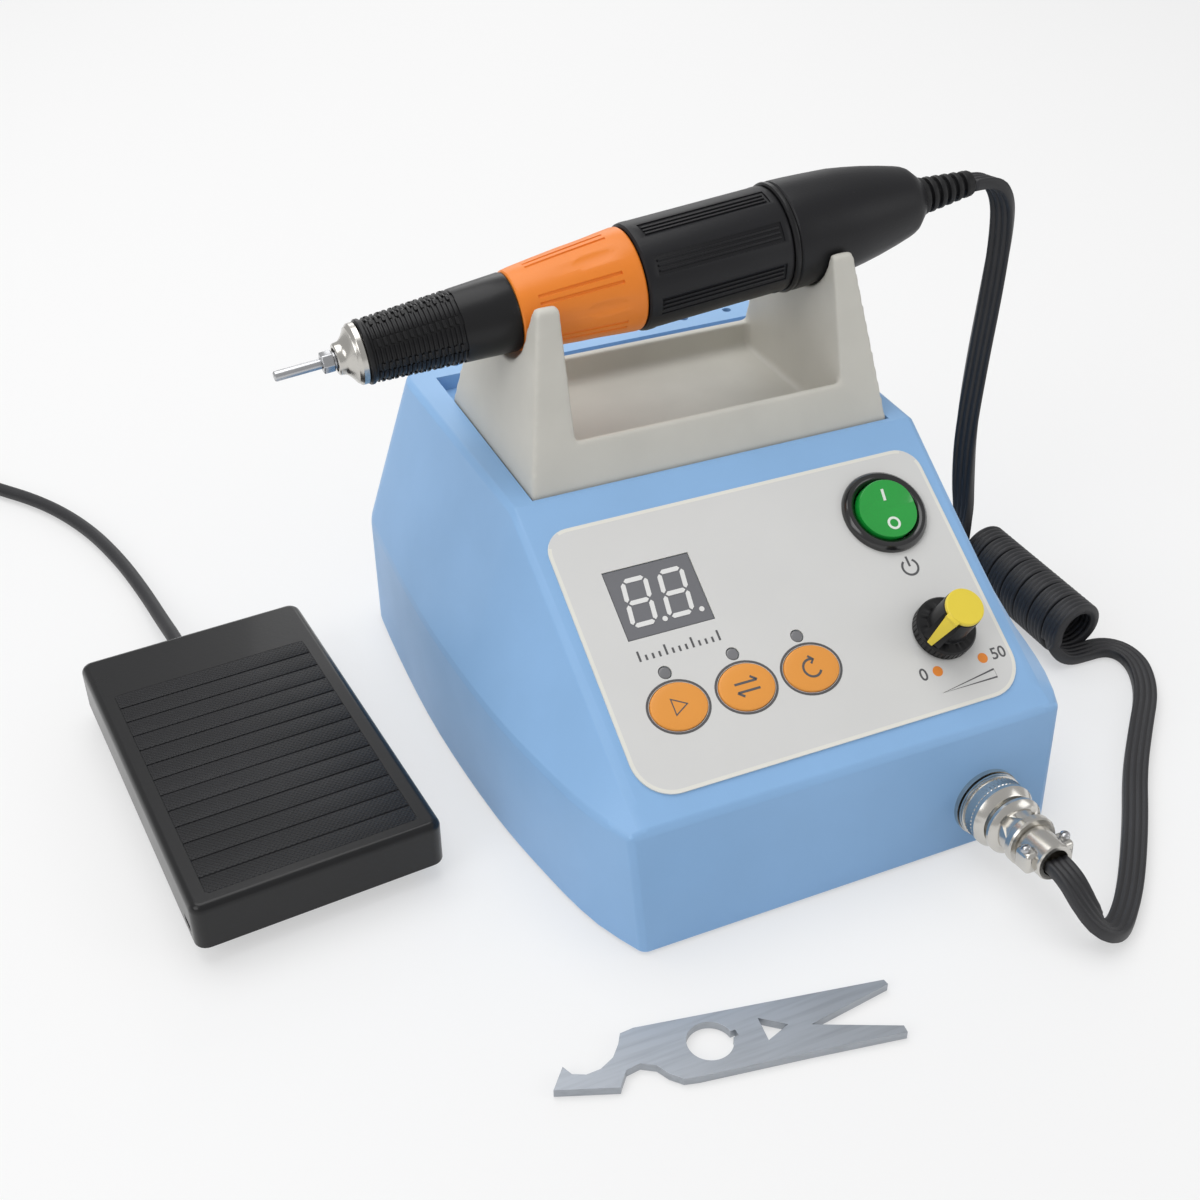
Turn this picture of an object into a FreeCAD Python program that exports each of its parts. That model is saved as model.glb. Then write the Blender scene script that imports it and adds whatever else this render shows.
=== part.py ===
import FreeCAD, Part
import math
import os

V = FreeCAD.Vector
os.makedirs("parts", exist_ok=True)

# Bench drill set: control unit with cradle, handpiece, foot pedal and wrench.
# Millimetres. The origin is on the table under the middle of the control unit.
# Front is -Y, up is +Z. Depths below are counted back from the unit's front edge.

# Control unit casing
casing_depth = 154.0
front_half = 52.4
side_bulge = [(13.5, 58.6), (34.5, 63.3), (55.0, 66.3)]
side_half = 68.3
rear_half = 66.6
rear_corner = 11.0
rear_screw_inset = 16.0
crease_height = 32.2
top_height = 74.0
slope_half = 50.9
slope_top_half = 52.7
top_rear_half = 54.4
top_rear_inset = 4.0
front_lean = 3.63
fold_back = 71.2
wall = 2.4
top_wall = 6.6
bottom_lift = 0.8

# Recess for the cradle and row of bur holes behind it
recess_depth = 4.0
recess_gap = 0.4
recess_back = 139.0
bur_hole_r = 1.25
bur_hole_pitch = 13.3
bur_hole_count = 7
bur_hole_back = 144.6
bur_hole_deep = 14.0

# Label panel, measured up the slope from its lower edge
label_half = 48.6
label_length = 65.4
label_corner = 9.0
label_thick = 0.5
label_start = 6.08
display_u, display_v = -27.9, 44.2
display_w, display_h = 21.0, 16.8
button_u = [-33.3, -16.7, -0.4]
button_v = 18.3
button_a, button_b = 6.7, 5.5
button_travel = 0.5
button_proud = 0.5
indicator_v = 26.6
indicator_r = 1.5
switch_u, switch_v = 33.6, 50.2
switch_r = 10.6
switch_bore = 7.7
rocker_r = 7.5
knob_u, knob_v = 33.8, 18.3
knob_r = 7.3
knob_stem_r = 4.6
knob_height = 14.4
shaft_r = 3.0
board_drop = 14.0
board_thick = 1.6
key_top = -9.0
switch_barrel_r = 8.9
bushing_r = 3.9
rocker_tilt = 8.0

# Cradle
cradle_half = 46.7
cradle_inner = 34.7
cradle_front = 73.0
cradle_back = 127.1
front_horn_rise = 40.0
rear_horn_rise = 33.0
front_rail_rise = 10.5
rear_rail_rise = 6.6
rail_thick = 4.4
seat_gap = 0.35

# Handpiece, measured from its nose tip along its axis
nose_x, nose_back, nose_rise = -82.2, 99.2, 30.4
tilt = 5.14
shank_r = 1.175
shank_out = 14.0
shank_in = 18.0
nose_end, nose_r1 = 5.8, 7.0
grip_end, grip_r0, grip_r1 = 41.2, 7.2, 9.2
ring_end, ring_r0, ring_r1 = 70.9, 9.4, 12.2
housing_end, housing_r = 108.6, 12.7
flange_end, flange_r = 110.2, 13.3
cap_mid, cap_mid_r = 126.5, 12.4
cap_shoulder, cap_shoulder_r = 145.6, 8.5
cap_end, cap_end_r = 149.6, 5.0
relief_end, relief_r0, relief_r1 = 165.0, 4.6, 3.4
cap_r0, cap_seat_r = 13.2, 12.95
sleeve_step = 1.3
run_gap = 0.05

# Handpiece cord and its curly stretch
cord_d = 5.2
curl_r = 6.0
curl_pitch = 6.3
curl_turns = 7.25
curl_x = 98.6
curl_back = 94.5

# Screw plug on the front
plug_x, plug_z = 35.3, 11.8
plug_ring_r, plug_ring_l = 8.2, 7.4
plug_body_r, plug_neck_r = 5.4, 4.6
plug_length = 26.0
socket_barrel_r = 5.6
nose_thread_r = 6.6
insert_r = 4.6

# Rear wall fittings, base plate
inlet_x, inlet_z = -30.0, 17.0
jack_x, fuse_x = 38.0, 8.0
jack_barrel_r, jack_bore_r, fuse_barrel_r = 5.0, 3.2, 5.6
fuse_length = 24.0
plate_low, plate_top = 1.6, 3.6

# Foot pedal
pedal_x, pedal_front = -141.0, 36.0
pedal_yaw = 4.4
pedal_w, pedal_l, pedal_h = 58.0, 99.0, 16.6
skirt_low = 4.8
pedal_wall = 2.2
pin_r = 1.5
pin_back = 90.0
pin_z = 9.2
pedal_cord_d = 4.0

# Coil of the pedal cord's unseen length
coil_x, coil_back = -214.0, 268.0
coil_mid_r = 22.0
coil_turns = 4
coil_pitch = 5.2
coil_step = 4.6
coil_tail = 25.0

# Wrench
wrench_thick = 2.0

FRONT = -casing_depth / 2
recess_half = cradle_half + recess_gap
recess_front = cradle_front - recess_gap - 0.1
front_horn = top_height + front_horn_rise
rear_horn = top_height + rear_horn_rise
front_rail = top_height + front_rail_rise
rear_rail = top_height + rear_rail_rise
nose_z = top_height + nose_rise
# the leaning front meets the slope at the crease's height
slope_rise = (top_height - crease_height) / (fold_back - front_lean)
panel_slope = math.degrees(math.atan(slope_rise))
label_front = front_lean + label_start * math.cos(math.radians(panel_slope))
label_seat_z = crease_height + label_start * math.sin(math.radians(panel_slope))


def P(x, back, z):
    return V(x, back + FRONT, z)


def box(x0, x1, b0, b1, z0, z1):
    return Part.makeBox(x1 - x0, b1 - b0, z1 - z0, P(x0, b0, z0))


def rod(r, h, base, axis=V(0, 0, 1)):
    return Part.makeCylinder(r, h, base, axis)


def plate(points, vec):
    return Part.Face(Part.makePolygon(points + [points[0]])).extrude(vec)


def group(shapes):
    return Part.makeCompound(shapes)


def save(name, shape):
    shape.exportStep("parts/%s.step" % name)


# Casing: a bulged lower wall, sides leaning in above the crease, a sloped front
def spline(points):
    curve = Part.BSplineCurve()
    curve.interpolate(points)
    return curve


def casing_form(t, top_t, low):
    m = slope_rise
    down = t / math.cos(math.radians(panel_slope))
    lip = crease_height
    rise0 = label_seat_z - label_front * m - down
    top = top_height - top_t
    y_top = (top - rise0) / m
    lean = front_lean / crease_height
    y0 = t + low * lean
    y_front_lip = (lip - rise0) / m
    back = casing_depth - t
    knots = [(0.0, front_half)] + side_bulge
    knots += [(85.0, side_half), (110.0, side_half), (casing_depth - rear_corner, rear_half)]

    def cut_spline(z, y_a, y_b, s):
        pts = [P(s * (w - t), y, z) for y, w in knots]
        full = spline(pts)
        lo, hi = full.FirstParameter, full.LastParameter

        def at(y):
            a, b = lo, hi
            for _ in range(60):
                mid = (a + b) / 2
                if full.value(mid).y < y + FRONT:
                    a = mid
                else:
                    b = mid
            return (a + b) / 2

        pa, pb = at(y_a), at(y_b)
        n = 9
        pts = [full.value(pa + (pb - pa) * i / (n - 1)) for i in range(n)]
        return spline(pts).toShape(), pts[0], pts[-1]

    def arc(z, s, inset, half):
        # rear corner, a quarter turn from the side to the rear edge
        r = rear_corner - t
        yb = back - inset
        a = P(s * half, yb - r, z)
        b = P(s * (half - r), yb, z)
        mid = P(s * (half - r + r * math.sqrt(0.5)), yb - r + r * math.sqrt(0.5), z)
        return Part.Arc(a, mid, b).toShape(), a, b

    faces = []
    corners = {}
    for s in (-1, 1):
        y_rear = casing_depth - rear_corner
        b1, b1a, b1b = cut_spline(low, y0, y_top, s)
        b2, b2a, b2b = cut_spline(low, y_top, y_rear, s)
        c1, c1a, c1b = cut_spline(lip, y_front_lip, y_top, s)
        c2, c2a, c2b = cut_spline(lip, y_top, y_rear, s)
        e1a = P(s * (slope_half - t), y_front_lip, lip)
        e1b = P(s * (slope_top_half - t), y_top, top)
        tc, tca, tcb = arc(top, s, top_rear_inset, top_rear_half - t)
        bc, bca, bcb = arc(low, s, 0, rear_half - t)
        cc, cca, ccb = arc(lip, s, 0, rear_half - t)
        e1 = Part.LineSegment(e1a, e1b).toShape()
        e2 = Part.LineSegment(e1b, tca).toShape()
        for lo_e, hi_e in ((b1, c1), (b2, c2), (c1, e1), (c2, e2), (bc, cc), (cc, tc)):
            faces.append(Part.makeRuledSurface(lo_e, hi_e))
        corners[s] = dict(
            b=[b1, b2, bc], c1a=c1a, b1a=b1a, e1a=e1a, e1b=e1b,
            t=[e2, tc], bcb=bcb, ccb=ccb, tcb=tcb,
        )
    L, R = corners[-1], corners[1]
    line = lambda a, b: Part.LineSegment(a, b).toShape()
    faces.append(Part.makeRuledSurface(line(L["bcb"], R["bcb"]), line(L["ccb"], R["ccb"])))
    faces.append(Part.makeRuledSurface(line(L["ccb"], R["ccb"]), line(L["tcb"], R["tcb"])))
    ring = L["b"] + [line(L["bcb"], R["bcb"])] + R["b"] + [line(R["b1a"], L["b1a"])]
    faces.append(Part.Face(Part.Wire(Part.__sortEdges__(ring))))
    ring = [line(L["e1b"], R["e1b"])] + L["t"] + [line(L["tcb"], R["tcb"])] + R["t"]
    faces.append(Part.Face(Part.Wire(Part.__sortEdges__(ring))))
    ring = [L["b1a"], R["b1a"], R["c1a"], R["e1a"], L["e1a"], L["c1a"]]
    faces.append(Part.Face(Part.makePolygon(ring + [ring[0]])))
    ring = [L["e1a"], R["e1a"], R["e1b"], L["e1b"]]
    faces.append(Part.Face(Part.makePolygon(ring + [ring[0]])))
    shell = Part.makeShell(faces)
    shell.sewShape()
    solid = Part.makeSolid(Part.Shell(shell.Faces))
    if solid.Volume < 0:
        solid.reverse()
    return solid


def frame_copy(shape, axis, angle, origin):
    s = shape.copy()
    s.rotate(V(0, 0, 0), axis, angle)
    s.translate(origin)
    return s


def panel(shape):
    # local x along the front, y up the slope, z out of the label's seat
    return frame_copy(shape, V(1, 0, 0), panel_slope, P(0, label_front, label_seat_z))


def lbox(u0, u1, v0, v1, w0, w1):
    return Part.makeBox(u1 - u0, v1 - v0, w1 - w0, V(u0, v0, w0))


def lrod(r, u, v, w0, w1):
    return Part.makeCylinder(r, w1 - w0, V(u, v, w0))


def oval(a, b, u, v, w0, w1):
    e = Part.Ellipse(V(u, v, w0), a, b).toShape()
    return Part.Face(Part.Wire([e])).extrude(V(0, 0, w1 - w0))


def rounded(x0, x1, y0, y1, z0, z1, r):
    # a plate with rounded corners seen from above
    body = Part.makeBox(x1 - x0, y1 - y0, z1 - z0, V(x0, y0, z0))
    edges = [e for e in body.Edges if abs(e.tangentAt(e.FirstParameter).z) > 0.9]
    return body.makeFillet(r, edges)


# Casing shell with its recess, bosses and holes
hole_xs = [(i - (bur_hole_count - 1) / 2) * bur_hole_pitch for i in range(bur_hole_count)]
casing = casing_form(0.0, 0.0, bottom_lift)
casing = casing.cut(casing_form(wall, top_wall, bottom_lift - 4))
rear_screw_back = casing_depth - rear_screw_inset
screw_spots = [(-53.2, 15.0), (53.2, 15.0), (-61.2, rear_screw_back), (61.2, rear_screw_back)]
for x, back in screw_spots:
    casing = casing.fuse(rod(3.6, 20.0, P(x, back, plate_top + 0.1)))
for x in hole_xs:
    casing = casing.fuse(rod(bur_hole_r + 1.8, 10.0, P(x, bur_hole_back, top_height - 16)))
casing = casing.common(casing_form(0.0, 0.0, bottom_lift))
casing = casing.cut(
    box(-recess_half, recess_half, recess_front, recess_back, top_height - recess_depth, 200)
)
for x in hole_xs:
    casing = casing.cut(rod(bur_hole_r, 20.0, P(x, bur_hole_back, top_height - bur_hole_deep)))
for x, back in screw_spots:
    casing = casing.cut(rod(1.35, 14.0, P(x, back, 0)))
cuts = [
    lbox(
        display_u - display_w / 2 - 0.2, display_u + display_w / 2 + 0.2,
        display_v - display_h / 2 - 0.2, display_v + display_h / 2 + 0.2, -8, 5,
    ),
    lrod(switch_barrel_r + 0.1, switch_u, switch_v, -8, 5),
    lrod(bushing_r + 0.1, knob_u, knob_v, -8, 5),
]
for u in button_u:
    cuts.append(oval(button_a + 0.15, button_b + 0.15, u, button_v, -8, 5))
    cuts.append(lrod(indicator_r + 0.1, u, indicator_v, -8, 5))
for c in cuts:
    casing = casing.cut(panel(c))
lean_deg = math.degrees(math.atan(front_lean / crease_height))
socket_point = P(plug_x, plug_z * front_lean / crease_height, plug_z)


def front(shape):
    # local z points out of the leaning front face, y up it
    return frame_copy(shape, V(1, 0, 0), 90 - lean_deg, socket_point)


def rear(shape, x, z):
    # local z points straight back out of the rear wall
    return frame_copy(shape, V(1, 0, 0), -90, P(x, casing_depth, z))


casing = casing.cut(front(lrod(socket_barrel_r + 0.1, 0, 0, -8, 5)))
casing = casing.cut(rear(rounded(-13.8, 13.8, -9.8, 9.8, -8, 5, 2.0), inlet_x, inlet_z))
casing = casing.cut(rear(lrod(jack_barrel_r + 0.1, 0, 0, -8, 5), jack_x, inlet_z))
casing = casing.cut(rear(lrod(fuse_barrel_r + 0.1, 0, 0, -8, 5), fuse_x, inlet_z))
print("casing", casing.isValid(), len(casing.Solids), round(casing.Volume))
save("casing", casing)

# Base plate, its screws and the rubber feet
plate_form = casing_form(wall + 0.3, top_wall, bottom_lift - 4)
base_plate = plate_form.common(box(-90, 90, -10, 170, plate_low, plate_top))
for x, back in screw_spots:
    base_plate = base_plate.cut(rod(1.4, 10.0, P(x, back, 0)))
save("base_plate", base_plate)
screws = []
for x, back in screw_spots:
    head = rod(2.8, 1.1, P(x, back, plate_low - 1.1))
    screws.append(head.fuse(rod(1.3, 11.0, P(x, back, plate_low))))
save("base_screws", group(screws))
save("feet", group([
    rod(6.0, plate_low, P(x, back, 0))
    for x, back in ((-38, 18), (38, 18), (-50, 128), (50, 128))
]))

# Label, display, digits, indicators and the three oval buttons
label = rounded(-label_half, label_half, 0, label_length, 0, label_thick, label_corner)
label = label.cut(cuts[0])
label = label.cut(lrod(switch_barrel_r + 0.1, switch_u, switch_v, -1, 2))
label = label.cut(lrod(bushing_r + 0.1, knob_u, knob_v, -1, 2))
for u in button_u:
    label = label.cut(oval(button_a + 0.15, button_b + 0.15, u, button_v, -1, 2))
    label = label.cut(lrod(indicator_r + 0.1, u, indicator_v, -1, 2))
save("panel_overlay", panel(label))
display_top = 0.3
save("display_module", panel(lbox(
    display_u - display_w / 2, display_u + display_w / 2,
    display_v - display_h / 2, display_v + display_h / 2, -board_drop, display_top,
)))
segments = []
digit_w, digit_h, stroke = 5.4, 10.4, 1.0
for u in (display_u - 4.6, display_u + 4.0):
    v = display_v
    hw, hh = digit_w / 2, digit_h / 2
    for dv in (-hh, 0.0, hh):
        segments.append(lbox(
            u - hw + stroke, u + hw - stroke, v + dv - stroke / 2, v + dv + stroke / 2,
            display_top, display_top + 0.15,
        ))
    for du in (-hw, hw):
        for low, high in ((-hh + 0.7, -0.7), (0.7, hh - 0.7)):
            segments.append(lbox(
                u + du - stroke / 2, u + du + stroke / 2, v + low, v + high,
                display_top, display_top + 0.15,
            ))
    segments.append(lrod(0.6, u + hw + 1.6, v - hh, display_top, display_top + 0.15))
save("display_digits", panel(group(segments)))
save("indicator_leds", panel(group([
    lrod(indicator_r, u, indicator_v, -board_drop, label_thick) for u in button_u
])))
button_top = label_thick + button_proud
names = ("start_button", "direction_button", "mode_button")
for name, u in zip(names, button_u):
    cap = oval(button_a, button_b, u, button_v, -1.6, button_top)
    stem = lrod(2.0, u, button_v, key_top + button_travel + 0.1, -1.6)
    save(name, panel(cap.fuse(stem)))

# Circuit board with its three key switches, on four posts under the slope
board = lbox(-44, 17, 6, 60, -board_drop - board_thick, -board_drop)
for u in button_u:
    board = board.fuse(lbox(u - 3, u + 3, button_v - 3, button_v + 3, -board_drop, key_top))
save("circuit_board", panel(board))
save("board_posts", panel(group([
    lrod(2.2, u, v, -board_drop, -wall) for u, v in ((-41, 9), (13.6, 9), (-41, 57), (13.6, 57))
])).cut(casing))

# Round rocker switch
bezel = lrod(switch_r, switch_u, switch_v, label_thick, label_thick + 1.9)
bezel = bezel.makeChamfer(0.6, [e for e in bezel.Edges if e.BoundBox.ZMin > label_thick + 1])
bezel = bezel.fuse(lrod(switch_barrel_r, switch_u, switch_v, -13, label_thick))
bezel = bezel.cut(lrod(switch_bore, switch_u, switch_v, -9, 6))
save("switch_bezel", panel(bezel))
pivot_w = 0.8
rock = Part.makeSphere(rocker_r, V(0, 0, 0)).common(lbox(-9, 9, -9, 9, -4.6, 3.6))
for s in (-1, 1):
    valley = lbox(-9, 9, 0, 9, 2.3, 9)
    valley.rotate(V(0, 0, 2.3), V(1, 0, 0), 7.0)
    if s < 0:
        valley.rotate(V(0, 0, 0), V(0, 0, 1), 180)
    rock = rock.cut(valley)
rock.rotate(V(0, 0, 0), V(1, 0, 0), rocker_tilt)
rock.translate(V(switch_u, switch_v, pivot_w))
save("switch_rocker", panel(rock))

# Speed knob: round foot, stem with a fin, yellow cap with its pointer, control behind
fin_angle = 240.0
knob = lrod(knob_r, 0, 0, label_thick + 0.4, 4.2)
knob = knob.fuse(lrod(knob_stem_r, 0, 0, 4.2, knob_height - 1.2))
cap_low = knob_height - 1.2
fin_in, fin_out = knob_stem_r + 0.05, knob_r - 0.4
fin = plate(
    [V(0, 0, 4.2), V(fin_out, 0, 4.2), V(fin_out, 0, 5.0), V(fin_in, 0, cap_low), V(0, 0, cap_low)],
    V(0, 4.6, 0),
)
fin.translate(V(0, -2.3, 0))
fin.rotate(V(0, 0, 0), V(0, 0, 1), fin_angle)
knob = knob.fuse(fin).cut(lrod(shaft_r + 0.02, 0, 0, -5, 11))
knob.translate(V(knob_u, knob_v, 0))
save("speed_knob", panel(knob))
pointer = plate(
    [V(fin_in, 0, cap_low), V(fin_out, 0, 5.0), V(fin_out + 0.4, 0, 5.15), V(fin_in + 0.6, 0, cap_low),
     V(fin_in + 0.6, 0, knob_height), V(3.0, 0, knob_height), V(3.0, 0, cap_low)],
    V(0, 2.4, 0),
)
pointer.translate(V(0, -1.2, 0))
pointer.rotate(V(0, 0, 0), V(0, 0, 1), fin_angle)
pointer = pointer.fuse(lrod(knob_stem_r - 0.1, 0, 0, cap_low, knob_height))
pointer.translate(V(knob_u, knob_v, 0))
save("knob_pointer", panel(pointer))
save("pot_shaft", panel(lrod(shaft_r, knob_u, knob_v, -9, 10.9)))
pot = lrod(8.2, knob_u, knob_v, -11.5, -wall)
pot = pot.fuse(lrod(bushing_r, knob_u, knob_v, -wall, label_thick))
pot = pot.cut(lrod(shaft_r + run_gap, knob_u, knob_v, -9.1, 5))
save("potentiometer", panel(pot))

# Front socket and the screw plug in it
pins = [(2.4 * math.cos(math.radians(a)), 2.4 * math.sin(math.radians(a))) for a in range(0, 360, 72)]
socket = lrod(8.4, 0, 0, 0, 1.2).fuse(lrod(socket_barrel_r, 0, 0, -11, 0))
socket = socket.fuse(lrod(nose_thread_r, 0, 0, 1.2, 6.8))
socket = socket.cut(lrod(insert_r + 0.15, 0, 0, 1.2, 9))
for px, py in pins:
    socket = socket.fuse(lrod(0.5, px, py, -2, 5.5))
save("front_socket", front(socket))
ring = lrod(plug_ring_r, 0, 0, 1.5, 1.5 + plug_ring_l)
for k in range(36):
    a = math.radians(k * 10)
    r = plug_ring_r + 0.25
    ring = ring.cut(lrod(0.45, r * math.cos(a), r * math.sin(a), 2.6, 0.4 + plug_ring_l))
ring = ring.cut(lrod(nose_thread_r + run_gap, 0, 0, 1.0, 7.0))
ring = ring.cut(lrod(plug_body_r + run_gap, 0, 0, 6, 12))
save("plug_ring", front(ring))
body = lrod(plug_body_r, 0, 0, 7.2, 18.0).fuse(lrod(insert_r, 0, 0, 1.5, 7.2))
body = body.fuse(Part.makeCone(plug_body_r, 7.2, 1.0, V(0, 0, 9.3)))
body = body.fuse(lrod(7.2, 0, 0, 10.3, 11.4))
body = body.fuse(Part.makeCone(7.2, plug_body_r, 1.2, V(0, 0, 11.4)))
body = body.fuse(lrod(6.3, 0, 0, 15.8, 18.0))
body = body.cut(lbox(-9, 9, 4.5, 9, 12.6, 15.8)).cut(lbox(-9, 9, -9, -4.5, 12.6, 15.8))
for px, py in pins:
    body = body.cut(lrod(0.6, px, py, 0, 6))
save("plug_body", front(body))
clamp = lrod(plug_neck_r, 0, 0, 18.0, plug_length)
clamp = clamp.fuse(lbox(-6.4, 6.4, -2.6, 2.6, 19.6, 24.4))
save("plug_clamp", front(clamp))
save("clamp_screws", front(group([
    Part.makeCylinder(1.15, 1.3, V(x, 2.6, 22.0), V(0, 1, 0)) for x in (-5.2, 5.2)
])))

# Transformer, mains inlet, pedal jack and fuse holder
core_back = casing_depth - fuse_length
trafo = box(-20, 20, core_back - 36, core_back, plate_top, 40)
trafo = trafo.fuse(box(-27, 27, core_back - 28, core_back - 8, plate_top + 6, 34))
save("transformer", trafo.fuse(box(-31, 31, core_back - 32, core_back - 4, plate_top, plate_top + 1.6)))
inlet = rounded(-13.5, 13.5, -9.5, 9.5, -16, 0, 2.0)
inlet = inlet.fuse(rounded(-16, 16, -12, 12, 0, 1.6, 3.0))
inlet = inlet.cut(rounded(-11.6, 11.6, -7.6, 7.6, -14.2, 5, 2.0))
for x, y in ((-7, -1.6), (7, -1.6), (0, 2.4)):
    inlet = inlet.fuse(lbox(x - 1, x + 1, y - 2, y + 2, -14.2, -3))
save("mains_inlet", rear(inlet, inlet_x, inlet_z))
jack = lrod(jack_barrel_r, 0, 0, -22, 0).fuse(lrod(jack_barrel_r + 2.2, 0, 0, 0, 2.0))
save("pedal_jack", rear(jack.cut(lrod(jack_bore_r, 0, 0, -20, 5)), jack_x, inlet_z))
fuse = lrod(fuse_barrel_r, 0, 0, -fuse_length, 0).fuse(lrod(fuse_barrel_r + 2, 0, 0, 0, 5.0))
save("fuse_holder", rear(fuse.cut(lbox(-5, 5, -0.5, 0.5, 4, 6)), fuse_x, inlet_z))

# Cradle: drafted block, open between its two horned walls, with a tray
cz = top_height - recess_depth
h0 = cradle_half
lean_in = 6.6
across = plate([
    P(-h0, 0, cz), P(-h0, 0, top_height), P(-h0 + lean_in, 0, front_horn),
    P(h0 - lean_in, 0, front_horn), P(h0, 0, top_height), P(h0, 0, cz),
], V(0, 200, 0))
solid_side = plate([
    P(-99, cradle_front, cz), P(-99, cradle_front, top_height), P(-99, 83.4, front_horn - 2),
    P(-99, 84.2, front_horn), P(-99, 85.8, front_horn), P(-99, 89.0, front_horn),
    P(-99, 112, rear_horn), P(-99, 116, rear_horn), P(-99, 118, rear_horn - 2),
    P(-99, cradle_back, top_height), P(-99, cradle_back, cz),
], V(198, 0, 0))
cradle = solid_side.common(across)
rails = [cradle_front + rail_thick, cradle_back - rail_thick]
cradle = cradle.cut(box(-cradle_inner, cradle_inner, *rails, top_height, 200))
cradle = cradle.cut(box(-cradle_inner, cradle_inner, 0, 92, front_rail, 200))
cradle = cradle.cut(box(-cradle_inner, cradle_inner, 91, 200, rear_rail, 200))
axis_dir = V(math.cos(math.radians(tilt)), 0, math.sin(math.radians(tilt)))


def along(t, drop=0.0):
    return P(nose_x, nose_back, nose_z - drop) + axis_dir * t


def seat(t0, t1, r, half, rise):
    # round seat under the handpiece, opening upward
    a = along(t0)
    b = along(t1)
    cut = Part.makeCylinder(r, t1 - t0, a, axis_dir)
    zc = (a.z + b.z) / 2
    y = a.y
    up = Part.Face(Part.makePolygon([
        V(a.x, y - r * 0.97, zc - r * 0.2), V(a.x, y - half, zc + rise),
        V(a.x, y + half, zc + rise), V(a.x, y + r * 0.97, zc - r * 0.2),
        V(a.x, y - r * 0.97, zc - r * 0.2),
    ])).extrude(V(b.x - a.x, 0, 0))
    return cut.fuse(up)


left_seat_t = (nose_x * -1 - cradle_inner) / math.cos(math.radians(tilt))
ring_share = (left_seat_t + 1.0 - grip_end) / (ring_end - grip_end)
left_seat_r = ring_r0 + (ring_r1 - ring_r0) * ring_share + seat_gap
cradle = cradle.cut(seat(30, left_seat_t + 1.0, left_seat_r, 13.4, 9.0))
cradle = cradle.cut(seat(114, 140, cap_seat_r + seat_gap, cap_seat_r + seat_gap, 9.0))
print("cradle", cradle.isValid(), len(cradle.Solids), round(cradle.Volume))
save("cradle", cradle)


# Handpiece, turned about its own axis
def turn(points):
    face = Part.Face(Part.makePolygon([V(t, 0, r) for t, r in points + [points[0]]]))
    return face.revolve(V(0, 0, 0), V(1, 0, 0), 360)


def hand(shape):
    return frame_copy(shape, V(0, -1, 0), tilt, P(nose_x, nose_back, nose_z))


def hrod(r, t0, t1, y=0.0, z=0.0):
    return Part.makeCylinder(r, t1 - t0, V(t0, y, z), V(1, 0, 0))


save("bur_shank", hand(hrod(shank_r, -shank_out, shank_in)))
hex_points = []
for k in range(6):
    a = math.radians(60 * k + 30)
    hex_points.append(V(-3.2, 2.5 * math.cos(a), 2.5 * math.sin(a)))
collet = plate(hex_points, V(2.7, 0, 0)).fuse(hrod(2.0, -0.5, 19.8))
collet = collet.cut(hrod(shank_r + 0.03, -5, shank_in + 0.2))
save("collet", hand(collet))
nose = turn([
    (0.0, 2.7), (0.0, 3.4), (1.5, 3.7), (2.2, 4.0), (3.9, 6.3), (4.3, nose_r1 - 0.1),
    (nose_end, nose_r1), (nose_end, 5.6), (12.0, 5.6), (12.0, 3.4), (2.0, 3.4), (2.0, 2.7),
])
save("nose_cone", hand(nose))
grip_low = nose_end + 0.2
profile_pts = [(grip_low, 5.65), (grip_low, grip_r0)]
rings = 22
ring_zone = 0.62 * (grip_end - grip_low)
for k in range(rings):
    t0 = grip_low + 1.2 + k * ring_zone / rings
    t1 = t0 + ring_zone / rings
    slope = (grip_r1 - grip_r0) / (grip_end - grip_low)
    r = grip_r0 + slope * (t0 - grip_low)
    profile_pts += [(t0, r), (t0 + 0.12, r - 0.28), (t0 + 0.42, r - 0.28), (t0 + 0.54, r)]
profile_pts += [(grip_end, grip_r1), (grip_end, 5.65)]
save("front_grip", hand(turn(profile_pts)))
sleeve_r = ring_r0 - sleeve_step
twist = turn([
    (grip_end + 0.3, sleeve_r + run_gap), (grip_end + 0.3, ring_r0),
    (grip_end + 18, ring_r0 + 1.9), (ring_end - 2.0, ring_r1), (ring_end, ring_r1 - 0.2),
    (ring_end, sleeve_r + run_gap),
])
for k in range(6):
    g = Part.makeCylinder(0.7, 19, V(grip_end + 6, 0, 0), V(1, 0, 0))
    g.translate(V(0, 0, ring_r0 + 1.15))
    g.rotate(V(grip_end + 6, 0, ring_r0 + 1.15), V(0, 1, 0), -5.0)
    g.rotate(V(0, 0, 0), V(1, 0, 0), 60 * k)
    twist = twist.cut(g)
save("twist_ring", hand(twist))
save("lock_sleeve", hand(turn([
    (12.1, 4.4), (12.1, 5.6), (grip_end + 0.1, 5.6), (grip_end + 0.1, sleeve_r),
    (ring_end + 0.2, sleeve_r), (ring_end + 0.2, 4.4),
])))
housing_low = ring_end + 0.3
housing = turn([
    (housing_low, 4.0), (housing_low, housing_r - 0.4), (housing_low + 0.6, housing_r),
    (housing_end - 0.6, housing_r), (housing_end, housing_r - 0.5), (housing_end, 10.95),
    (housing_low + 4, 10.95), (housing_low + 4, 4.0),
])
for k in range(12):
    flute = Part.makeBox(housing_end - housing_low - 4, 3.2, 2.0)
    flute.translate(V(housing_low + 2, -1.6, housing_r - 0.55))
    flute.rotate(V(0, 0, 0), V(1, 0, 0), 30 * k)
    housing = housing.cut(flute)
save("motor_housing", hand(housing))
save("flange_ring", hand(turn([
    (housing_end + 0.1, 9.0), (housing_end + 0.1, flange_r), (flange_end, flange_r), (flange_end, 9.0),
])))
cap_low_t = flange_end + 0.1
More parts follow.
